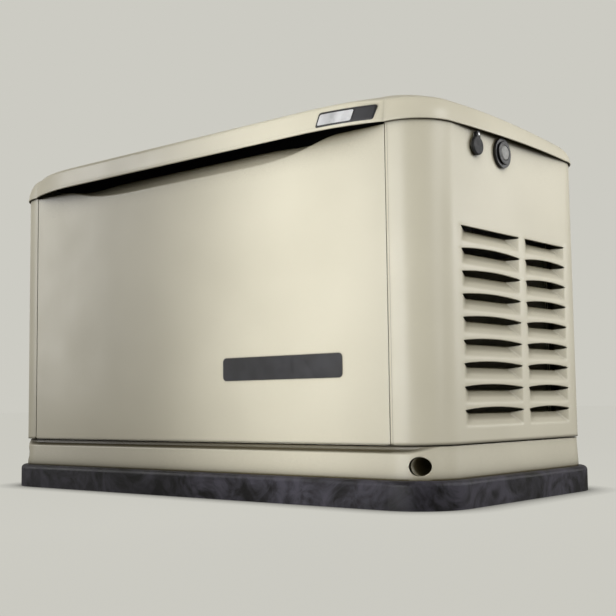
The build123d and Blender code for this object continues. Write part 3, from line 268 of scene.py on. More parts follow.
def end_panel_object(name, side):
    """Louvred end panel.

    The surface is the plan path carried up Z. A louvre's depth is the least of three
    planes: its face, which runs in from the bottom edge, and a cheek from each end. Each
    plane starts with a soft bend and they meet in soft creases. The slot is open from the
    face's lip to the arched top edge, which is rolled."""
    settings = sheet()
    path, from_near, from_far = end_plan(settings)
    rows, open_after = [], []

    def add(height, depth, opens=False):
        point = np.zeros((len(path), 3))
        point[:, :2] = path
        point[:, 0] -= depth
        point[:, 2] = height
        rows.append(point)
        open_after.append(opens)

    flat = np.zeros(len(path))
    end = np.minimum(from_near, from_far)
    share = np.clip(end / LOUVRE_CHEEK, 0, 1)
    span = np.where(end >= 0, from_near + from_far, 1.0)
    middle = np.where(end >= 0, 4 * from_near * from_far / span ** 2, 0.0)
    lip_height = settings.louvre_height - LOUVRE_SLOT
    cheek = bend(share, CHEEK_SOFT) / (1 - CHEEK_SOFT / 2)
    add(flat + PANEL_LOW, flat)
    add(flat + PANEL_LOW + 6 * MM, flat)
    for row in range(LOUVRE_ROWS):
        low = settings.louvre_low + row * settings.louvre_pitch
        top = low + settings.louvre_height + LOUVRE_ARCH * middle * (row < LOUVRE_ROWS - 1)
        add(flat + low - 2.5 * MM, flat)
        lip = low + settings.louvre_height - LOUVRE_SLOT * np.sqrt(share)
        for t in np.linspace(0, 1, 15):
            height = low + (lip - low) * t
            face = bend((height - low) / lip_height, FACE_SOFT) / (1 - FACE_SOFT / 2)
            ridge = 0.05 * np.exp(-((t - 0.52) / 0.13) ** 2) * ease(3 * (share - 0.6))
            depth = np.maximum(soft_least(cheek, face, 0.06), 0.0) - ridge
            add(height, settings.louvre_depth * np.maximum(depth, 0.0), t == 1.0)
        roll = EDGE_ROUND * np.minimum(1, 5 * share)
        for angle in np.radians((90, 55, 20, 0)):
            add(top + roll * (1 - math.sin(angle)), roll * (1 - math.cos(angle)) * 1.5)
    high = settings.louvre_low + LOUVRE_ROWS * settings.louvre_pitch
    for height in np.linspace(high, END_HIGH - 3 * MM, 8):
        add(flat + height, flat)
    add(flat + END_HIGH, flat)
    points = np.stack(rows)
    points[:, :, 0] *= side
    inside = (end[:-1] > -NEAR) & (end[1:] > -NEAR)
    gap = np.hypot(*(path[1:] - path[:-1]).T) > (LOUVRE_COLUMNS[1][0] - LOUVRE_COLUMNS[0][1]) / 2
    keep = ~(np.array(open_after[:-1])[:, None] & (inside & ~gap)[None, :])
    if side < 0:
        points, keep = points[:, ::-1], keep[:, ::-1]
    return thicken(smooth(grid_object(name, points, keep), 30), settings.skin)


# Along X, the vent's scoop is level up to the first place and ends at the second.
VENT_REACH = (130 * MM, 405 * MM)


def vent_share(x):
    """Depth of the vent's scoop at X, from 1 across the middle to 0 at its ends."""
    flat, end = VENT_REACH
    return 1 - ease(np.clip((np.abs(x) - flat) / (end - flat), 0, 1) ** 2)


# The vent's edge roll and its return, at the panel's ends and how much more in the middle:
# radius, length, and the turn in degrees from the face.
ROLL_RADIUS, ROLL_RADIUS_MORE = 1.6 * MM, 5.4 * MM
RETURN_RUN, RETURN_RUN_MORE = 2 * MM, 33 * MM
RETURN_TURN, RETURN_TURN_LESS = 90, 52


def front_panel_object():
    """Front panel: face carried across X, with rolled edges, seam flanges and the vent's return.

    Each column runs from the bottom flange up the face, round the top edge's roll and
    back up the return, whose depth grows from a short hem to the vent's full slope."""
    settings = sheet()
    edge = PANEL_EDGE
    plan = np.concatenate([
        straight((-edge, FRONT + settings.flange), (-edge, FRONT + EDGE_ROUND), 3),
        arc((-edge + EDGE_ROUND, FRONT + EDGE_ROUND), EDGE_ROUND, 180, 270, 5),
        straight((-edge + EDGE_ROUND, FRONT), (edge - EDGE_ROUND, FRONT), 205)[1:-1],
        arc((edge - EDGE_ROUND, FRONT + EDGE_ROUND), EDGE_ROUND, 270, 360, 5),
        straight((edge, FRONT + EDGE_ROUND), (edge, FRONT + settings.flange), 3),
    ])
    x, y = plan[:, 0], plan[:, 1]
    open_share = vent_share(x)
    top = PANEL_HIGH - settings.vent_drop * open_share
    face = np.abs(x) < edge - EDGE_ROUND
    rows = []

    def add(height, back):
        back = np.where(face, back, 0.0)
        rows.append(np.stack([x, y + back, height + 0 * x], axis=1))

    add(PANEL_LOW, settings.flange)
    add(PANEL_LOW, EDGE_ROUND)
    for angle in np.radians((30, 60, 90)):
        add(PANEL_LOW + EDGE_ROUND * (1 - math.sin(angle)), EDGE_ROUND * (1 - math.sin(angle)))
    for t in np.linspace(0.02, 1, 24):
        add(PANEL_LOW + EDGE_ROUND + (top - 9 * MM - PANEL_LOW) * t, 0.0)
    turn = np.radians(RETURN_TURN - RETURN_TURN_LESS * open_share)
    radius = ROLL_RADIUS + ROLL_RADIUS_MORE * open_share
    start = top - radius * (1 - 0.55 * open_share)
    for t in np.linspace(0.1, 1, 9):
        add(start + radius * np.sin(t * turn), radius * (1 - np.cos(t * turn)))
    run = RETURN_RUN + RETURN_RUN_MORE * open_share
    for t in np.linspace(0.15, 1, 7):
        add(np.minimum(start + radius * np.sin(turn) + run * t * np.cos(turn), PANEL_HIGH),
            radius * (1 - np.cos(turn)) + run * t * np.sin(turn))
    made = grid_object("front_panel_skin", np.stack(rows))
    return thicken(smooth(made, 40), settings.skin)


# ---------------------------------------------------------------- lid
# Height of the rolled bead, and how far it and the skirt above it lean in.
LID_BEAD = 9 * MM
LID_BEAD_IN = 1.1 * MM
LID_SKIRT_IN = 3.4 * MM
# Height of the shoulder, the radius that rounds it, and the power of the dome above it.
LID_SHOULDER = 45 * MM
LID_SOFT = 9 * MM
LID_DOME = 2.3
# How far the ends lean in above the shoulder, and the share of height lost at the rear ends.
LID_LEAN = 26 * MM
LID_REAR_DROP = 0.12
# Between which distances the lean and the drop set in, in metres: along X from the middle,
# back from the front, and off the middle line. At the front, the lean starts at a share.
LEAN_ALONG = (0.42, 0.60)
LEAN_BEHIND = (0.05, 0.55)
LEAN_CORNERS = (0.15, 0.30)
LEAN_AT_FRONT = 0.55
DROP_ALONG = (0.40, 0.60)
DROP_BEHIND = (0.14, 0.56)
# The nose fades over this inset. Its ramp bends between these shares of the front's reach,
# and stands proud of the end by a step.
NOSE_FADE = 170 * MM
RAMP_MID = 0.85
RAMP_END = 0.67
LID_STEP = 2.5 * MM


def lid_ring(inset, nose, lean):
    """Plan of the lid at an inset: rear line, round corner, bowed end, round corner, ramp, nose.

    The lean pulls the ends in, most at the rear corners, where the lid is softest."""
    half_depth = (BACK - FRONT) / 2 + LID_OVER - inset
    radius = sheet().corner_radius + LID_OVER - min(inset, 8 * MM) - 0.15 * max(inset - 8 * MM, 0.0)
    radius = min(radius, half_depth - 0.5 * MM)
    side = SIDE + LID_OVER - inset
    front, back = FRONT - LID_OVER + inset, BACK + LID_OVER - inset
    reach = side - radius
    tip = front - nose * (LID_NOSE - LID_OVER)
    rear = straight((0.0, back), (reach, back), 24)[:-1]
    rear_corner = arc((reach, back - radius), radius, 90, 0, 24)[:-1]
    t = np.linspace(0, 1, 40)
    bow = LID_BOW * 4 * t * (1 - t)
    end = np.stack([side + bow, back - radius + (front + radius - back + radius) * t], axis=1)[:-1]
    front_corner = arc((reach, front + radius), radius, 0, -90, 24)[:-1]
    s = np.linspace(0, 1, 26)[:, None]
    step = LID_STEP * nose ** 4
    a, b = np.array((reach - 5 * MM, front - step)), np.array((RAMP_MID * reach, tip))
    c = np.array((RAMP_END * reach, tip))
    ramp = ((1 - s) ** 2 * a + 2 * s * (1 - s) * b + s ** 2 * c)[:-1]
    flat = straight((RAMP_END * reach, tip), (0.0, tip), 30)
    foot = straight((reach, front), (reach - 2 * MM, front), 2)
    half = np.concatenate([rear, rear_corner, end, front_corner, foot, ramp, flat])
    near_end = between(half[:, 0], *LEAN_ALONG)
    rearward = LEAN_AT_FRONT + (1 - LEAN_AT_FRONT) * between(half[:, 1] - FRONT, *LEAN_BEHIND)
    off_middle = half[:, 1] - MIDDLE
    near_corner = np.sign(off_middle) * between(np.abs(off_middle), *LEAN_CORNERS)
    half -= (lean * near_end * rearward)[:, None] * np.stack([np.ones(len(half)), near_corner], axis=1)
    return np.concatenate([half, half[-2:0:-1] * (-1.0, 1.0)])


def nose_share(inset):
    """Share of the nose left at an inset: full at the lip, none past the fade."""
    return np.maximum(0.0, 1 - inset / NOSE_FADE) ** 1.5


def lid_profile():
    """Sections of the lid from its lip to its ridge: height, inset, share of the nose, lean.

    A rolled bead, a skirt that leans in, a round shoulder, then a dome that steepens
    towards the shoulder: its height falls with the 2.3 power of the way from the ridge."""
    height = LID_HIGH - LID_LOW
    depth = (BACK - FRONT) / 2 + LID_OVER
    sections = [(0.0, 2.2 * MM), (0.3 * MM, 0.9 * MM), (1.4 * MM, 0.1 * MM), (2.8 * MM, 0.0), (5.0 * MM, 0.2 * MM),
                (6.4 * MM, 0.8 * MM), (LID_BEAD, LID_BEAD_IN)]
    rise = LID_SHOULDER - LID_SOFT - LID_BEAD
    for t in np.linspace(0.15, 1, 7):
        sections.append((LID_BEAD + rise * t, LID_BEAD_IN + LID_SKIRT_IN * t))
    for angle in np.radians(np.linspace(8, 62, 8)):
        sections.append((LID_BEAD + rise + LID_SOFT * 1.3 * math.sin(angle),
                         LID_BEAD_IN + LID_SKIRT_IN + LID_SOFT * 1.3 * (1 - math.cos(angle))))
    start_z, start_inset = sections[-1]
    for t in np.linspace(0.03, 0.985, 26):
        sections.append((start_z + (height - start_z) * (1 - (1 - t) ** LID_DOME),
                         start_inset + (depth - start_inset) * t))
    out = []
    for z, inset in sections:
        lean = LID_LEAN * min(1.0, z / (1.1 * LID_SHOULDER)) ** 3
        out.append((z, inset, nose_share(inset), lean))
    return out


def lid_object():
    """Lid skin: plan rings stacked from the lip up to the ridge, where a cap fills the last ring."""
    rows = []
    for height, inset, nose, lean in lid_profile():
        ring = lid_ring(inset, nose, lean)
        rearward = between(ring[:, 1] - FRONT, *DROP_BEHIND)
        drop = 1 - LID_REAR_DROP * rearward * between(np.abs(ring[:, 0]), *DROP_ALONG)
        rows.append(np.column_stack([ring, LID_LOW + height * drop]))
    points = np.stack(rows)[:, ::-1]
    made = grid_object("lid_skin", points, wrap=True, cap=True)
    return thicken(smooth(made, 19), sheet().skin)


def lid_front(x, z):
    """Y of the lid's front face at X and Z.

    Along the ramp, X is reach times 1 - p s - q s squared, which is solved for s."""
    t = (z - LID_LOW - LID_BEAD) / (LID_SHOULDER - LID_SOFT - LID_BEAD)
    inset = LID_BEAD_IN + LID_SKIRT_IN * np.clip(t, 0, 1)
    front = FRONT - LID_OVER + inset
    tip = front - nose_share(inset) * (LID_NOSE - LID_OVER)
    reach = SIDE - sheet().corner_radius
    p, q = 2 * (1 - RAMP_MID), 2 * RAMP_MID - 1 - RAMP_END
    s = (-p + np.sqrt(p * p + 4 * q * np.clip(1 - np.abs(x) / reach, 0, 1))) / (2 * q)
    return front + (tip - front) * (1 - (1 - np.clip(s, 0, 1)) ** 2)


# Badge plates, in millimetres: left, right, low, high, lean and corner radius of the outline,
# then the plate's back and front above the lid, and its slot.
BADGE = (
    ("badge_rim", (378, 500, 684, 711.5, 7, 5), 0, 1.0, "black_plastic"),
    ("badge_pale", (382, 456.6, 687.7, 707.9, 5.5, 3.5), 0.9, 1.3, "badge_print"),
    ("badge_dark", (454.8, 496, 687.7, 707.9, 5.5, 3.5), 0.9, 1.3, "label_print"),
)


def badge_outline(left, right, low, high, lean, radius):
    """Rounded parallelogram in X and Z, about 80 points, anticlockwise from outside."""
    corners = np.array([(left, low), (right - lean, low), (right, high), (left + lean, high)])
    points = []
    for i in range(4):
        here, before, after = corners[i], corners[i - 1], corners[(i + 1) % 4]
        start = here + (before - here) * radius / np.linalg.norm(before - here)
        stop = here + (after - here) * radius / np.linalg.norm(after - here)
        s = np.linspace(0, 1, 9)[:, None]
        points.append((1 - s) ** 2 * start + 2 * s * (1 - s) * here + s ** 2 * stop)
        if np.linalg.norm(after - here) > 3 * radius:
            nxt = after + (here - after) * radius / np.linalg.norm(here - after)
            points.append(stop + (nxt - stop) * np.linspace(0.1, 0.9, 9)[:, None])
    return np.concatenate(points)


def badge_plate_object(name, outline, base, lift):
    """Thin plate that follows the lid's front: rings of its outline shrink to its middle."""
    middle = outline.mean(axis=0)
    rows = []
    for share, out in [(1.0, base), (1.0, lift - 0.25 * MM), (0.992, lift)] + [
            (k, lift) for k in np.linspace(0.9, 0, 10)]:
        flat = middle + (outline - middle) * share
        rows.append(np.column_stack([flat[:, 0], lid_front(flat[:, 0], flat[:, 1]) - out, flat[:, 1]]))
    return smooth(grid_object(name, np.stack(rows), wrap=True), 40)


# ---------------------------------------------------------------- base
# Lifting holes, the gap from the skin to the tube behind them, and the anchor holes' places.
LIFT_X = 559 * MM
LIFT_Z = 74 * MM
LIFT_RADIUS = 16.5 * MM
TUBE_GAP = 7 * MM
ANCHORS = ((-450 * MM, 450 * MM), (-227 * MM, 243 * MM))
ANCHOR_RADIUS = 5.5 * MM
# The band's flare; its shelf, and the angles round a corner where that starts and is full,
# in degrees from straight ahead; and the sheets.
BAND_FLARE = 2.4 * MM
SHELF_DEPTH = 8 * MM
SHELF_FADE = (62, 12)
BAND_SKIN = 2.6 * MM
FLOOR_SKIN = 2.9 * MM
FLOOR_LIFT = 3 * MM
FLOOR_MARGIN = 3 * MM


def base_outline():
    """Rounded rectangle of the base from the rear middle anticlockwise: points and outward normals."""
    radius = sheet().corner_radius
    x, front, back = SIDE - radius, FRONT + radius, BACK - radius
    hole = LIFT_X - x + LIFT_RADIUS * np.cos(np.linspace(0, math.pi, 25))
    turns = np.sort(np.concatenate([np.linspace(0, 90, 31), 90 - np.degrees(np.arcsin(hole / radius))]))

    def curve(cx, cy, quarter):
        """One corner; its points crowd round the lifting hole."""
        angles = np.radians(90 * quarter + (turns if quarter % 2 == 0 else 90 - turns[::-1]))
        return np.stack([cx + radius * np.cos(angles), cy + radius * np.sin(angles)], axis=1)

    parts = [straight((0.0, BACK), (-x, BACK), 60)[:-1], curve(-x, back, 1)[:-1],
             straight((-SIDE, back), (-SIDE, front), 20)[:-1], curve(-x, front, 2)[:-1],
             straight((-x, FRONT), (x, FRONT), 120)[:-1], curve(x, front, 3)[:-1],
             straight((SIDE, front), (SIDE, back), 20)[:-1], curve(x, back, 0)[:-1],
             straight((x, BACK), (0.0, BACK), 60)[:-1]]
    path = np.concatenate(parts)
    core = np.stack([np.clip(path[:, 0], -x, x), np.clip(path[:, 1], front, back)], axis=1)
    normal = path - core
    return path, normal / np.linalg.norm(normal, axis=1)[:, None]


def base_band_object():
    """Base band: the outline carried up Z with a flare, a front shelf and round lifting holes.

    At a lifting hole the rows below it end on its lower half and the rows above start on
    its upper half. Along the front, the band steps in to a shelf below the front panel,
    and the shelf fades out round the corners."""
    path, normal = base_outline()
    low, high = corner("base_tray", 0, 2), corner("base_tray", 1, 2)
    faces_y = np.abs(normal[:, 1]) > 0.3
    half_hole = np.sqrt(np.maximum(LIFT_RADIUS ** 2 - (np.abs(path[:, 0]) - LIFT_X) ** 2, 0)) * faces_y
    around = np.degrees(np.arctan2(normal[:, 0], -normal[:, 1]))
    shelf = between(np.abs(around), *SHELF_FADE)
    rows = []

    def add(height, extra=0.0):
        t = (height - low) / (high - low)
        step = SHELF_DEPTH * shelf * ease((t - 0.76 + 0.10 * (shelf - 1)) / 0.15)
        point = path - normal * (BAND_FLARE * ease(t) + step + extra)[:, None]
        rows.append(np.column_stack([point, height]))

    flat = np.zeros(len(path))
    for lift, extra in ((3, 14), (3, 3), (0, 2.5), (0, 0.4)):
        add(flat + low + lift * MM, extra * MM)
    for t in np.linspace(0.03, 1, 9):
        add(low + (LIFT_Z - half_hole - low) * t)
    below_hole = len(rows) - 1
    for t in np.linspace(0, 1, 26):
        add(LIFT_Z + half_hole + (high - 1.2 * MM - LIFT_Z - half_hole) * t)
    for fall, extra in ((0.4, 0.4), (0, 1.4), (0, 16)):
        add(flat + high - fall * MM, extra * MM)
    keep = np.ones((len(rows) - 1, len(path)), bool)
    keep[below_hole] = (half_hole == 0) & (np.roll(half_hole, -1) == 0)
    return thicken(smooth(grid_object("base_band", np.stack(rows), keep, wrap=True), 32), BAND_SKIN)


def lifting_tube_object(side):
    """Tube that a lifting bar passes through, front to back, between two lifting holes.

    Each end stops behind the corner's round skin, so the mouths follow that curve."""
    turn = np.linspace(0, 2 * math.pi, 49)[:-1] * side
    corner_radius = sheet().corner_radius
    across = LIFT_X + LIFT_RADIUS * np.cos(turn)
    mouth = corner_radius - np.sqrt(corner_radius ** 2 - (across - SIDE + corner_radius) ** 2) + TUBE_GAP
    rows = [np.stack([side * across, y, LIFT_Z + LIFT_RADIUS * np.sin(turn)], axis=1)
            for y in (FRONT + mouth, FRONT + 2 * mouth, BACK - 2 * mouth, BACK - mouth)]
    return thicken(smooth(grid_object("lifting_tube", np.stack(rows), wrap=True), 40), sheet().skin)


def base_floor_object():
    """Floor of the base with its four anchor holes: rows run from front to rear between them."""
    radius = sheet().corner_radius - FLOOR_MARGIN
    edge = SIDE - FLOOR_MARGIN
    xs = [np.linspace(-edge, edge, 80)]
    for x in ANCHORS[0]:
        xs.append(x + ANCHOR_RADIUS * np.cos(np.linspace(0, math.pi, 17)))
    x = np.unique(np.round(np.concatenate(xs), 6))
    over = np.maximum(np.abs(x) - (edge - radius), 0)
    pull = radius - np.sqrt(np.maximum(radius ** 2 - over ** 2, 0))
    front, back = FRONT + FLOOR_MARGIN + pull, BACK - FLOOR_MARGIN - pull
    nearest = np.min(np.abs(x[:, None] - np.array(ANCHORS[0])), axis=1)
    hole = np.sqrt(np.maximum(ANCHOR_RADIUS ** 2 - nearest ** 2, 0))
    y0, y1 = ANCHORS[1]
    stops = [(front, np.maximum(y0 - hole, front)), (y0 + hole, y1 - hole), (np.minimum(y1 + hole, back), back)]
    level = corner("base_tray", 0, 2) + FLOOR_LIFT
    rows, keep = [], []
    for start, stop in stops:
        start, stop = np.clip(start, front, back), np.clip(stop, front, back)
        for t in np.linspace(0, 1, 8):
            rows.append(np.column_stack([x, start + (stop - start) * t, np.full(len(x), level)]))
            keep.append(t < 1)
    cells = np.array(keep[:-1])[:, None] & np.ones(len(x) - 1, bool)[None, :]
    return thicken(grid_object("base_floor", np.stack(rows), cells), FLOOR_SKIN)


# ---------------------------------------------------------------- materials
def linear(code):
    """sRGB hex text as linear RGBA."""
    channels = [int(code[i:i + 2], 16) / 255 for i in (0, 2, 4)]
    return tuple(c / 12.92 if c <= 0.04045 else ((c + 0.055) / 1.055) ** 2.4 for c in channels) + (1.0,)


def add_node(tree, kind, settings=None, **inputs):
    """Add a node, set its own settings and its inputs: a socket links, anything else is a value."""
    made = tree.nodes.new(kind)
    for key, value in (settings or {}).items():
        setattr(made, key, value)
    for key, value in inputs.items():
        socket = made.inputs[int(key[1:])] if key[0] == "i" and key[1:].isdigit() else made.inputs[
            key.replace("_", " ")]
        if isinstance(value, bpy.types.NodeSocket):
            tree.links.new(value, socket)
        else:
            socket.default_value = value
    return made


def start_material(name, **values):
    """A material with one Principled shader, whose sockets the values set; and its node tree."""
    material = bpy.data.materials.new(name)
    material.use_nodes = True
    shader = material.node_tree.nodes["Principled BSDF"]
    for key, value in values.items():
        shader.inputs[key.replace("_", " ")].default_value = value
    return material, material.node_tree


def linked(material, **outputs):
    """Link node outputs to the Principled shader's sockets, and give the material back."""
    shader = material.node_tree.nodes["Principled BSDF"]
    for key, output in outputs.items():
        material.node_tree.links.new(output, shader.inputs[key.replace("_", " ")])
    return material


def per_metre(size_mm):
    """Pattern scale whose repeat is a real size in millimetres."""
    return 1000.0 / size_mm


def object_point(tree):
    """Object coordinates, in metres."""
    return add_node(tree, "ShaderNodeTexCoord").outputs["Object"]


def noise(tree, size_mm, detail=2.0, rough=0.5, warp=0.0):
    """Noise whose blobs are about size_mm across."""
    made = add_node(tree, "ShaderNodeTexNoise", None, Vector=object_point(tree), Scale=per_metre(size_mm),
                    Detail=detail, Roughness=rough, Distortion=warp)
    return made.outputs["Fac"]


def mix_colour(tree, factor, first, second):
    """The first colour at factor 0, the second at factor 1."""
    made = add_node(tree, "ShaderNodeMix", {"data_type": "RGBA"}, i0=factor, i6=first, i7=second)
    return made.outputs[2]


def two_tone(tree, factor, low, high, start=0.35, end=0.65):
    """A colour between two hex colours, by where a factor lies between start and end."""
    ramp = add_node(tree, "ShaderNodeValToRGB", None, Fac=factor)
    ramp.color_ramp.elements[0].position = start
    ramp.color_ramp.elements[1].position = end
    ramp.color_ramp.elements[0].color = linear(low)
    ramp.color_ramp.elements[1].color = linear(high)
    return ramp.outputs["Color"]


def spread(tree, factor, low, high):
    """A factor mapped to a range of values, for roughness."""
    made = add_node(tree, "ShaderNodeMapRange", None, Value=factor, From_Min=0.3, From_Max=0.7, To_Min=low,
                    To_Max=high)
    return made.outputs["Result"]


def bump(tree, height, distance_mm, strength=1.0, normal=None):
    """A bump from a height factor, its depth in millimetres."""
    made = add_node(tree, "ShaderNodeBump", None, Height=height, Distance=distance_mm * MM, Strength=strength)
    if normal is not None:
        tree.links.new(normal, made.inputs["Normal"])
    return made.outputs["Normal"]


def shade(hex_code, factor):
    """A hex colour made lighter or darker."""
    channels = [min(255, round(int(hex_code[i:i + 2], 16) * factor)) for i in (0, 2, 4)]
    return "".join(f"{c:02X}" for c in channels)


# Painted shade: the dark tone mixed into the coat in deep recesses, where shade falls, how far it looks for them
# in millimetres, and the openness at which it is full.
PAINTED_SHADE_TONE = "57503A"
PAINTED_SHADE_REACH = 70
PAINTED_SHADE_FULL = 0.58


def openness(tree, reach_mm, closed):
    """How open a point is to the air within a reach in millimetres: 0 when closed, 1 when clear."""
    held = add_node(tree, "ShaderNodeAmbientOcclusion", {"samples": 8}, Distance=reach_mm * MM)
    made = add_node(tree, "ShaderNodeMapRange", None, Value=held.outputs["AO"], From_Min=closed)
    return made.outputs["Result"]


def wave(tree, size_mm, **inputs):
    """Bands across Z, their pattern scale given in millimetres."""
    made = add_node(tree, "ShaderNodeTexWave", {"bands_direction": "Z"}, Vector=object_point(tree),
                    Scale=per_metre(size_mm), **inputs)
    return made.outputs["Fac"]


def cells(tree, size_mm, output):
    """An output of Voronoi cells about size_mm across."""
    made = add_node(tree, "ShaderNodeTexVoronoi", None, Vector=object_point(tree), Scale=per_metre(size_mm))
    return made.outputs[output]


def powder_coat():
    """Bisque polyester powder coat on aluminium sheet: satin, with a fine orange peel, and painted shade that
    darkens it in recesses.

    The peel is about 2.5 mm across and only ruffles reflections; a slow drift of tone
    keeps large panels from looking printed."""
    colour = finishes().coat
    material, tree = start_material("bisque_powder_coat", Roughness=0.36, IOR=1.5)
    drift = two_tone(tree, noise(tree, 260, 2), shade(colour, 0.975), shade(colour, 1.01))
    # Painted shade: ambient occlusion mixes the coat towards a dark olive in recesses and under the lid's nose.
    tone = mix_colour(tree, openness(tree, PAINTED_SHADE_REACH, PAINTED_SHADE_FULL), linear(PAINTED_SHADE_TONE), drift)
    return linked(material, Base_Color=tone, Roughness=spread(tree, noise(tree, 90, 3), 0.33, 0.40),
                  Normal=bump(tree, noise(tree, 2.5, 1), 0.035, 0.6))


def pad_composite():
    """Moulded black composite: semi-matt, with marbled flow marks about 190 and 70 mm across."""
    colour = finishes().pad
    material, tree = start_material("moulded_pad_composite", Roughness=0.5, IOR=1.5, Specular_IOR_Level=0.3)
    flow = noise(tree, 190, 4, 0.55, 1.4)
    streak = noise(tree, 70, 5, 0.6, 2.4)
    mixed = add_node(tree, "ShaderNodeMath", {"operation": "MULTIPLY"}, i0=flow, i1=streak).outputs[0]
    grain = bump(tree, noise(tree, 6, 3), 0.25, 0.5, bump(tree, streak, 0.8, 0.5))
    return linked(material, Base_Color=two_tone(tree, mixed, shade(colour, 0.4), shade(colour, 2.0), 0.17, 0.36),
                  Roughness=spread(tree, streak, 0.36, 0.6), Normal=grain)


def moulded_plastic(name, colour, rough):
    """Injection-moulded ABS with a fine spark-eroded grain, about 0.8 mm across."""
    material, tree = start_material(name, Roughness=rough, IOR=1.5)
    return linked(material, Base_Color=two_tone(tree, noise(tree, 40, 2), shade(colour, 0.9), shade(colour, 1.08)),
                  Roughness=spread(tree, noise(tree, 14, 3), rough - 0.06, rough + 0.06),
                  Normal=bump(tree, noise(tree, 0.8, 1), 0.05, 0.6))


def black_rubber():
    """Moulded rubber: dull, slightly bloomed where it is handled."""
    material, tree = start_material("moulded_rubber", Roughness=0.6, IOR=1.5)
    return linked(material, Base_Color=two_tone(tree, noise(tree, 18, 4), "17171A", "2A2A2D"),
                  Roughness=spread(tree, noise(tree, 7, 3), 0.48, 0.7),
                  Normal=bump(tree, noise(tree, 1.6, 2), 0.08, 0.6))


def lens_plastic():
    """Frosted acrylic lens: milky grey with light scattered inside."""
    material, tree = start_material("frosted_acrylic", Roughness=0.32, IOR=1.49, Transmission_Weight=0.25)
    return linked(material, Base_Color=two_tone(tree, noise(tree, 9, 2), "8E8E8C", "A7A7A4"),
                  Normal=bump(tree, noise(tree, 1.5, 1), 0.03, 0.5))


def zinc_steel():
    """Zinc-plated steel: bright grey with faint yellow passivation clouds."""
    material, tree = start_material("zinc_plated_steel", Metallic=1.0, Roughness=0.34)
    return linked(material, Base_Color=two_tone(tree, noise(tree, 12, 3), "A8A69C", "C6C8C8"),
                  Roughness=spread(tree, noise(tree, 4, 3), 0.26, 0.44))


def turned_steel():
    """Turned dark steel with fine rings of tool marks."""
    material, tree = start_material("turned_steel", Metallic=1.0, Roughness=0.36)
    marks = wave(tree, 30, Distortion=0.6)
    return linked(material, Base_Color=two_tone(tree, marks, "606064", "7C7C80"),
                  Normal=bump(tree, marks, 0.04, 0.5))


def cast_aluminium():
    """Sand-cast aluminium: pale grey, grainy, about 1.5 mm grit, with duller hollows."""
    material, tree = start_material("cast_aluminium", Metallic=1.0, Roughness=0.48)
    return linked(material, Base_Color=two_tone(tree, noise(tree, 45, 4), "9A9B9C", "BDBEBF"),
                  Roughness=spread(tree, noise(tree, 10, 4), 0.38, 0.6),
                  Normal=bump(tree, noise(tree, 1.5, 2), 0.15, 0.8))


def engine_enamel():
    """Baked black engine enamel, semi-gloss over a cast or pressed surface."""
    material, tree = start_material("black_engine_enamel", Roughness=0.34, IOR=1.5)
    return linked(material, Base_Color=two_tone(tree, noise(tree, 60, 3), "141416", "232326"),
                  Normal=bump(tree, noise(tree, 2.2, 2), 0.06, 0.6))


def aluminised_steel():
    """Aluminised exhaust steel, browned where it runs hot."""
    material, tree = start_material("aluminised_steel", Metallic=1.0, Roughness=0.46)
    return linked(material, Base_Color=two_tone(tree, noise(tree, 110, 4, 0.6, 0.8), "7F756A", "A9A8A4"),
                  Roughness=spread(tree, noise(tree, 20, 4), 0.36, 0.58),
                  Normal=bump(tree, noise(tree, 3, 2), 0.06, 0.5))


def galvanised_sheet():
    """Hot-dip galvanised sheet with spangles about 14 mm across."""
    material, tree = start_material("galvanised_sheet", Metallic=1.0, Roughness=0.4)
    grey = add_node(tree, "ShaderNodeRGBToBW", None, Color=cells(tree, 14, "Color")).outputs["Val"]
    return linked(material, Base_Color=two_tone(tree, grey, "969A9C", "A5A9AB"),
                  Roughness=spread(tree, grey, 0.42, 0.5))


def copper_winding():
    """Varnished copper wire: turns a few millimetres apart under amber varnish."""
    material, tree = start_material("varnished_copper_wire", Metallic=0.7, Roughness=0.32)
    turns = wave(tree, 20, Distortion=1.5, Detail=1.0)
    return linked(material, Base_Color=two_tone(tree, turns, "7A3512", "C06A34", 0.2, 0.8),
                  Normal=bump(tree, turns, 0.6, 0.8))


def steel_laminations():
    """Stacked core laminations: dark blued sheet edges, drawn further apart than real so that they show."""
    material, tree = start_material("core_laminations", Metallic=0.9, Roughness=0.45)
    sheets = wave(tree, 13)
    return linked(material, Base_Color=two_tone(tree, sheets, "2C2B2F", "55545A"),
                  Normal=bump(tree, sheets, 0.3, 0.6))


def acoustic_foam():
    """Open-cell polyether foam: charcoal, cells about 3 mm across."""
    material, tree = start_material("open_cell_foam", Roughness=0.95)
    pores = cells(tree, 3, "Distance")
    return linked(material, Base_Color=two_tone(tree, pores, "2E2E31", "151517", 0.1, 0.6),
                  Normal=bump(tree, pores, 1.2, 1.0))


def brass_fitting():
    """Machined brass, slightly tarnished."""
    material, tree = start_material("machined_brass", Metallic=1.0, Roughness=0.3)
    return linked(material, Base_Color=two_tone(tree, noise(tree, 14, 3), "9A7B3E", "C2A25C"),
                  Roughness=spread(tree, noise(tree, 5, 3), 0.24, 0.42))


def glazed_ceramic():
    """Glazed ceramic insulator: off-white and glossy."""
    material, tree = start_material("glazed_ceramic", Roughness=0.15, IOR=1.5)
    return linked(material, Base_Color=two_tone(tree, noise(tree, 10, 2), "D8D6CE", "E9E8E2"))


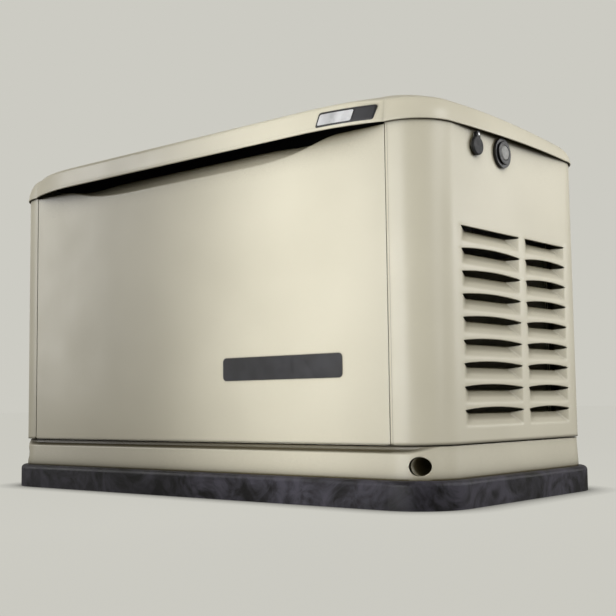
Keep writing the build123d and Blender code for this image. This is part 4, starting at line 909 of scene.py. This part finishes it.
SLOT_FINISHES = {
    "powder_coat": powder_coat,
    "pad_composite": pad_composite,
    "black_plastic": lambda: moulded_plastic("black_abs", "1B1B1E", 0.36),
    "black_rubber": black_rubber,
    "lens": lens_plastic,
    "zinc_steel": zinc_steel,
    "dark_steel": turned_steel,
    "cast_aluminium": cast_aluminium,
    "engine_black": engine_enamel,
    "aluminised_steel": aluminised_steel,
    "galvanised_sheet": galvanised_sheet,
    "copper_winding": copper_winding,
    "laminations": steel_laminations,
    "foam": acoustic_foam,
    "badge_print": lambda: moulded_plastic("silver_print", "C9CACC", 0.3),
    "label_print": lambda: moulded_plastic("charcoal_label", "2A2A2D", 0.4),
    "red_plastic": lambda: moulded_plastic("red_abs", "A01B16", 0.3),
    "green_plastic": lambda: moulded_plastic("green_abs", "1D7A36", 0.3),
    "blue_plastic": lambda: moulded_plastic("blue_abs", "1F4A94", 0.3),
    "brass_fitting": brass_fitting,
    "ceramic_white": glazed_ceramic,
}
MADE = {}


def finish_for(slot):
    """The material of a record slot, made once."""
    if slot not in MADE:
        MADE[slot] = SLOT_FINISHES[slot]()
    return MADE[slot]


def finish_piece(piece, slot, body):
    """Dress a new piece in its slot's finish and let it ride."""
    dress(piece, finish_for(slot))
    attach(piece, body)
    return piece


# ---------------------------------------------------------------- operators
class GENERATOR_OT_finishes(bpy.types.Operator):
    """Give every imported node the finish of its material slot"""
    bl_idname = "generator.finishes"
    bl_label = "Finish packed parts"

    def execute(self, context):
        for part in frame["record"]["subparts"]:
            dress(frame["nodes"][part["node"]], finish_for(part["material_slot"]))
        return {"FINISHED"}


class GENERATOR_OT_end_panels(bpy.types.Operator):
    """Build both louvred end panels"""
    bl_idname = "generator.end_panels"
    bl_label = "End panels"

    def execute(self, context):
        for side, name in ((1, "right_end_panel"), (-1, "left_end_panel")):
            piece = finish_piece(end_panel_object(name + "_skin", side), "powder_coat", "enclosure")
            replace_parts(piece, name)
        return {"FINISHED"}


class GENERATOR_OT_front_panel(bpy.types.Operator):
    """Build the front panel with its vent scoop"""
    bl_idname = "generator.front_panel"
    bl_label = "Front panel"

    def execute(self, context):
        piece = finish_piece(front_panel_object(), "powder_coat", "front_panel")
        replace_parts(piece, "front_panel")
        return {"FINISHED"}


class GENERATOR_OT_lid(bpy.types.Operator):
    """Build the domed lid and its blank badge"""
    bl_idname = "generator.lid"
    bl_label = "Lid and badge"

    def execute(self, context):
        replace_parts(finish_piece(lid_object(), "powder_coat", "lid"), "lid")
        for name, outline, base, top, slot in BADGE:
            plate = badge_plate_object(name, badge_outline(*(v * MM for v in outline)), base * MM, top * MM)
            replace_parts(finish_piece(plate, slot, "lid"), "badge_plate")
        return {"FINISHED"}


class GENERATOR_OT_base(bpy.types.Operator):
    """Build the base band, its floor and the lifting tubes"""
    bl_idname = "generator.base"
    bl_label = "Base"

    def execute(self, context):
        for piece in (base_band_object(), base_floor_object(), lifting_tube_object(-1), lifting_tube_object(1)):
            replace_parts(finish_piece(piece, "powder_coat", "enclosure"), "base_tray")
        return {"FINISHED"}


def soft_light(name, place, target, size, watts, spread):
    """A rectangular soft box that faces a target, its beam narrowed to a spread in degrees."""
    lamp = bpy.data.lights.new(name, "AREA")
    lamp.shape = "RECTANGLE"
    lamp.size, lamp.size_y = size
    lamp.energy = watts
    lamp.spread = math.radians(spread)
    holder = bpy.data.objects.new(name, lamp)
    holder.location = place
    holder.rotation_euler = (Vector(target) - Vector(place)).to_track_quat("-Z", "Y").to_euler()
    bpy.context.scene.collection.objects.link(holder)
    return holder


# Soft boxes: place and target in metres, size in metres, power in watts, spread in degrees.
LIGHTS = (
    ("front_key", (0.1, -1.3, 0.45), (0.30, -0.29, 0.40), (0.25, 1.3), 1.15, 55),
    ("front_kicker", (0.5, -1.7, 0.45), (0.40, -0.29, 0.40), (0.3, 1.3), 0.95, 40),
    ("left_strip", (-2.2, -1.5, 0.9), (-0.55, -0.29, 0.5), (0.4, 1.4), 3.1, 90),
    ("left_high", (-1.5, -1.3, 1.5), (-0.55, -0.29, 0.6), (0.4, 0.4), 0.8, 60),
    ("side_rear", (2.6, 2.4, 1.0), (0.55, 0.25, 0.5), (0.8, 1.4), 4.9, 90),
    ("side_high", (2.2, 0.3, 1.5), (0.6, 0.15, 0.62), (1.0, 0.6), 3.2, 70),
    ("side_low", (3.0, -0.4, 0.8), (0.6, 0.0, 0.3), (0.8, 1.0), 3.5, 120),
)

# Camera: place in metres, heading, pitch and roll in degrees, lens and sensor in millimetres.
CAMERA_PLACE = (1.6035, -1.8006, 0.1835)
CAMERA_HEADING = 40.19
CAMERA_PITCH = 5.10
CAMERA_ROLL = -0.736
CAMERA_LENS = 62.6
CAMERA_SENSOR = 36.0


def make_camera():
    """Camera looking left and slightly up at the right front corner."""
    lens = bpy.data.cameras.new("camera")
    lens.lens = CAMERA_LENS
    lens.sensor_width = CAMERA_SENSOR
    camera = bpy.data.objects.new("camera", lens)
    heading, pitch, roll = (math.radians(a) for a in (CAMERA_HEADING, CAMERA_PITCH, CAMERA_ROLL))
    turn = Matrix.Rotation(heading, 4, "Z") @ Matrix.Rotation(math.pi / 2 + pitch, 4, "X")
    turn = turn @ Matrix.Rotation(roll, 4, "Z")
    camera.matrix_world = Matrix.Translation(CAMERA_PLACE) @ turn
    bpy.context.scene.collection.objects.link(camera)
    bpy.context.scene.camera = camera


# Half the floor's width in metres. The floor's own glow as the camera sees it, in the open and at the depth of the
# painted contact shadow close to the pad, as shares of the backdrop; the painted shadow's reach in millimetres and
# the openness at which it is full; what light adds.
FLOOR_REACH = 30.0
FLOOR_GLOW = 0.95
FLOOR_PAINTED_SHADOW = 0.22
PAINTED_SHADOW_REACH = 70
PAINTED_SHADOW_FULL = 0.45
FLOOR_LIT = 0.09
# The floor and the surroundings as lights, linear.
FLOOR_BOUNCE = (0.22, 0.22, 0.21, 1.0)
ROOM_LIGHT = (0.305, 0.290, 0.262, 1.0)


def seen_by_camera(tree, seen, unseen):
    """A colour that differs between what the camera sees and what lights the scene."""
    return mix_colour(tree, add_node(tree, "ShaderNodeLightPath").outputs["Is Camera Ray"], unseen, seen)


def make_world():
    """Even pale surroundings, dimmer as a light than as a backdrop."""
    world = bpy.data.worlds.new("studio")
    world.use_nodes = True
    tree = world.node_tree
    colour = seen_by_camera(tree, linear(finishes().backdrop), ROOM_LIGHT)
    tree.links.new(colour, tree.nodes["Background"].inputs["Color"])
    bpy.context.scene.world = world


def scaled(colour, share):
    """A linear colour times a share."""
    return tuple(share * c for c in colour)


class GENERATOR_OT_stage(bpy.types.Operator):
    """Build the floor, lights and camera"""
    bl_idname = "generator.stage"
    bl_label = "Stage"

    def execute(self, context):
        reach = FLOOR_REACH
        floor = grid_object("floor", np.array([[[-reach, -reach, 0], [reach, -reach, 0]],
                                               [[-reach, reach, 0], [reach, reach, 0]]], float))
        backdrop = linear(finishes().backdrop)
        material, tree = start_material("painted_floor", Roughness=0.9, Emission_Strength=1.0,
                                        Specular_IOR_Level=0.0)
        # Painted contact shadow: ambient occlusion darkens the floor's camera-seen glow next to the pad.
        glow = mix_colour(tree, openness(tree, PAINTED_SHADOW_REACH, PAINTED_SHADOW_FULL), scaled(backdrop, FLOOR_PAINTED_SHADOW),
                          scaled(backdrop, FLOOR_GLOW))
        linked(material, Base_Color=seen_by_camera(tree, scaled(backdrop, FLOOR_LIT), FLOOR_BOUNCE),
               Emission_Color=seen_by_camera(tree, glow, (0.0, 0.0, 0.0, 1.0)))
        dress(floor, material)
        make_world()
        for name, place, target, size, watts, spread in LIGHTS:
            soft_light(name, place, target, size, watts, spread)
        make_camera()
        bpy.context.scene.view_settings.view_transform = "Standard"
        return {"FINISHED"}


class GENERATOR_PT_panel(bpy.types.Panel):
    """Lists the steps and the settings"""
    bl_idname = "GENERATOR_PT_panel"
    bl_label = "Generator"
    bl_space_type = "VIEW_3D"
    bl_region_type = "UI"
    bl_category = "Generator"

    def draw(self, context):
        for step in STEPS:
            self.layout.operator(step.bl_idname)
        for group in (sheet(), finishes()):
            for key in group.__annotations__:
                self.layout.prop(group, key)


STEPS = (GENERATOR_OT_stage, GENERATOR_OT_finishes, GENERATOR_OT_end_panels, GENERATOR_OT_front_panel,
         GENERATOR_OT_lid, GENERATOR_OT_base)
CLASSES = (SheetSettings, FinishSettings) + STEPS + (GENERATOR_PT_panel,)


def register():
    """Register the classes and hang the settings on the scene."""
    for cls in CLASSES:
        bpy.utils.register_class(cls)
    bpy.types.Scene.generator_sheet = bpy.props.PointerProperty(type=SheetSettings)
    bpy.types.Scene.generator_finish = bpy.props.PointerProperty(type=FinishSettings)


def unregister():
    """Take the settings and the classes away again."""
    del bpy.types.Scene.generator_sheet
    del bpy.types.Scene.generator_finish
    for cls in reversed(CLASSES):
        bpy.utils.unregister_class(cls)


def main():
    """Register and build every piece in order."""
    register()
    for step in STEPS:
        family, name = step.bl_idname.split(".")
        getattr(getattr(bpy.ops, family), name)()


if __name__ == "__main__":
    main()
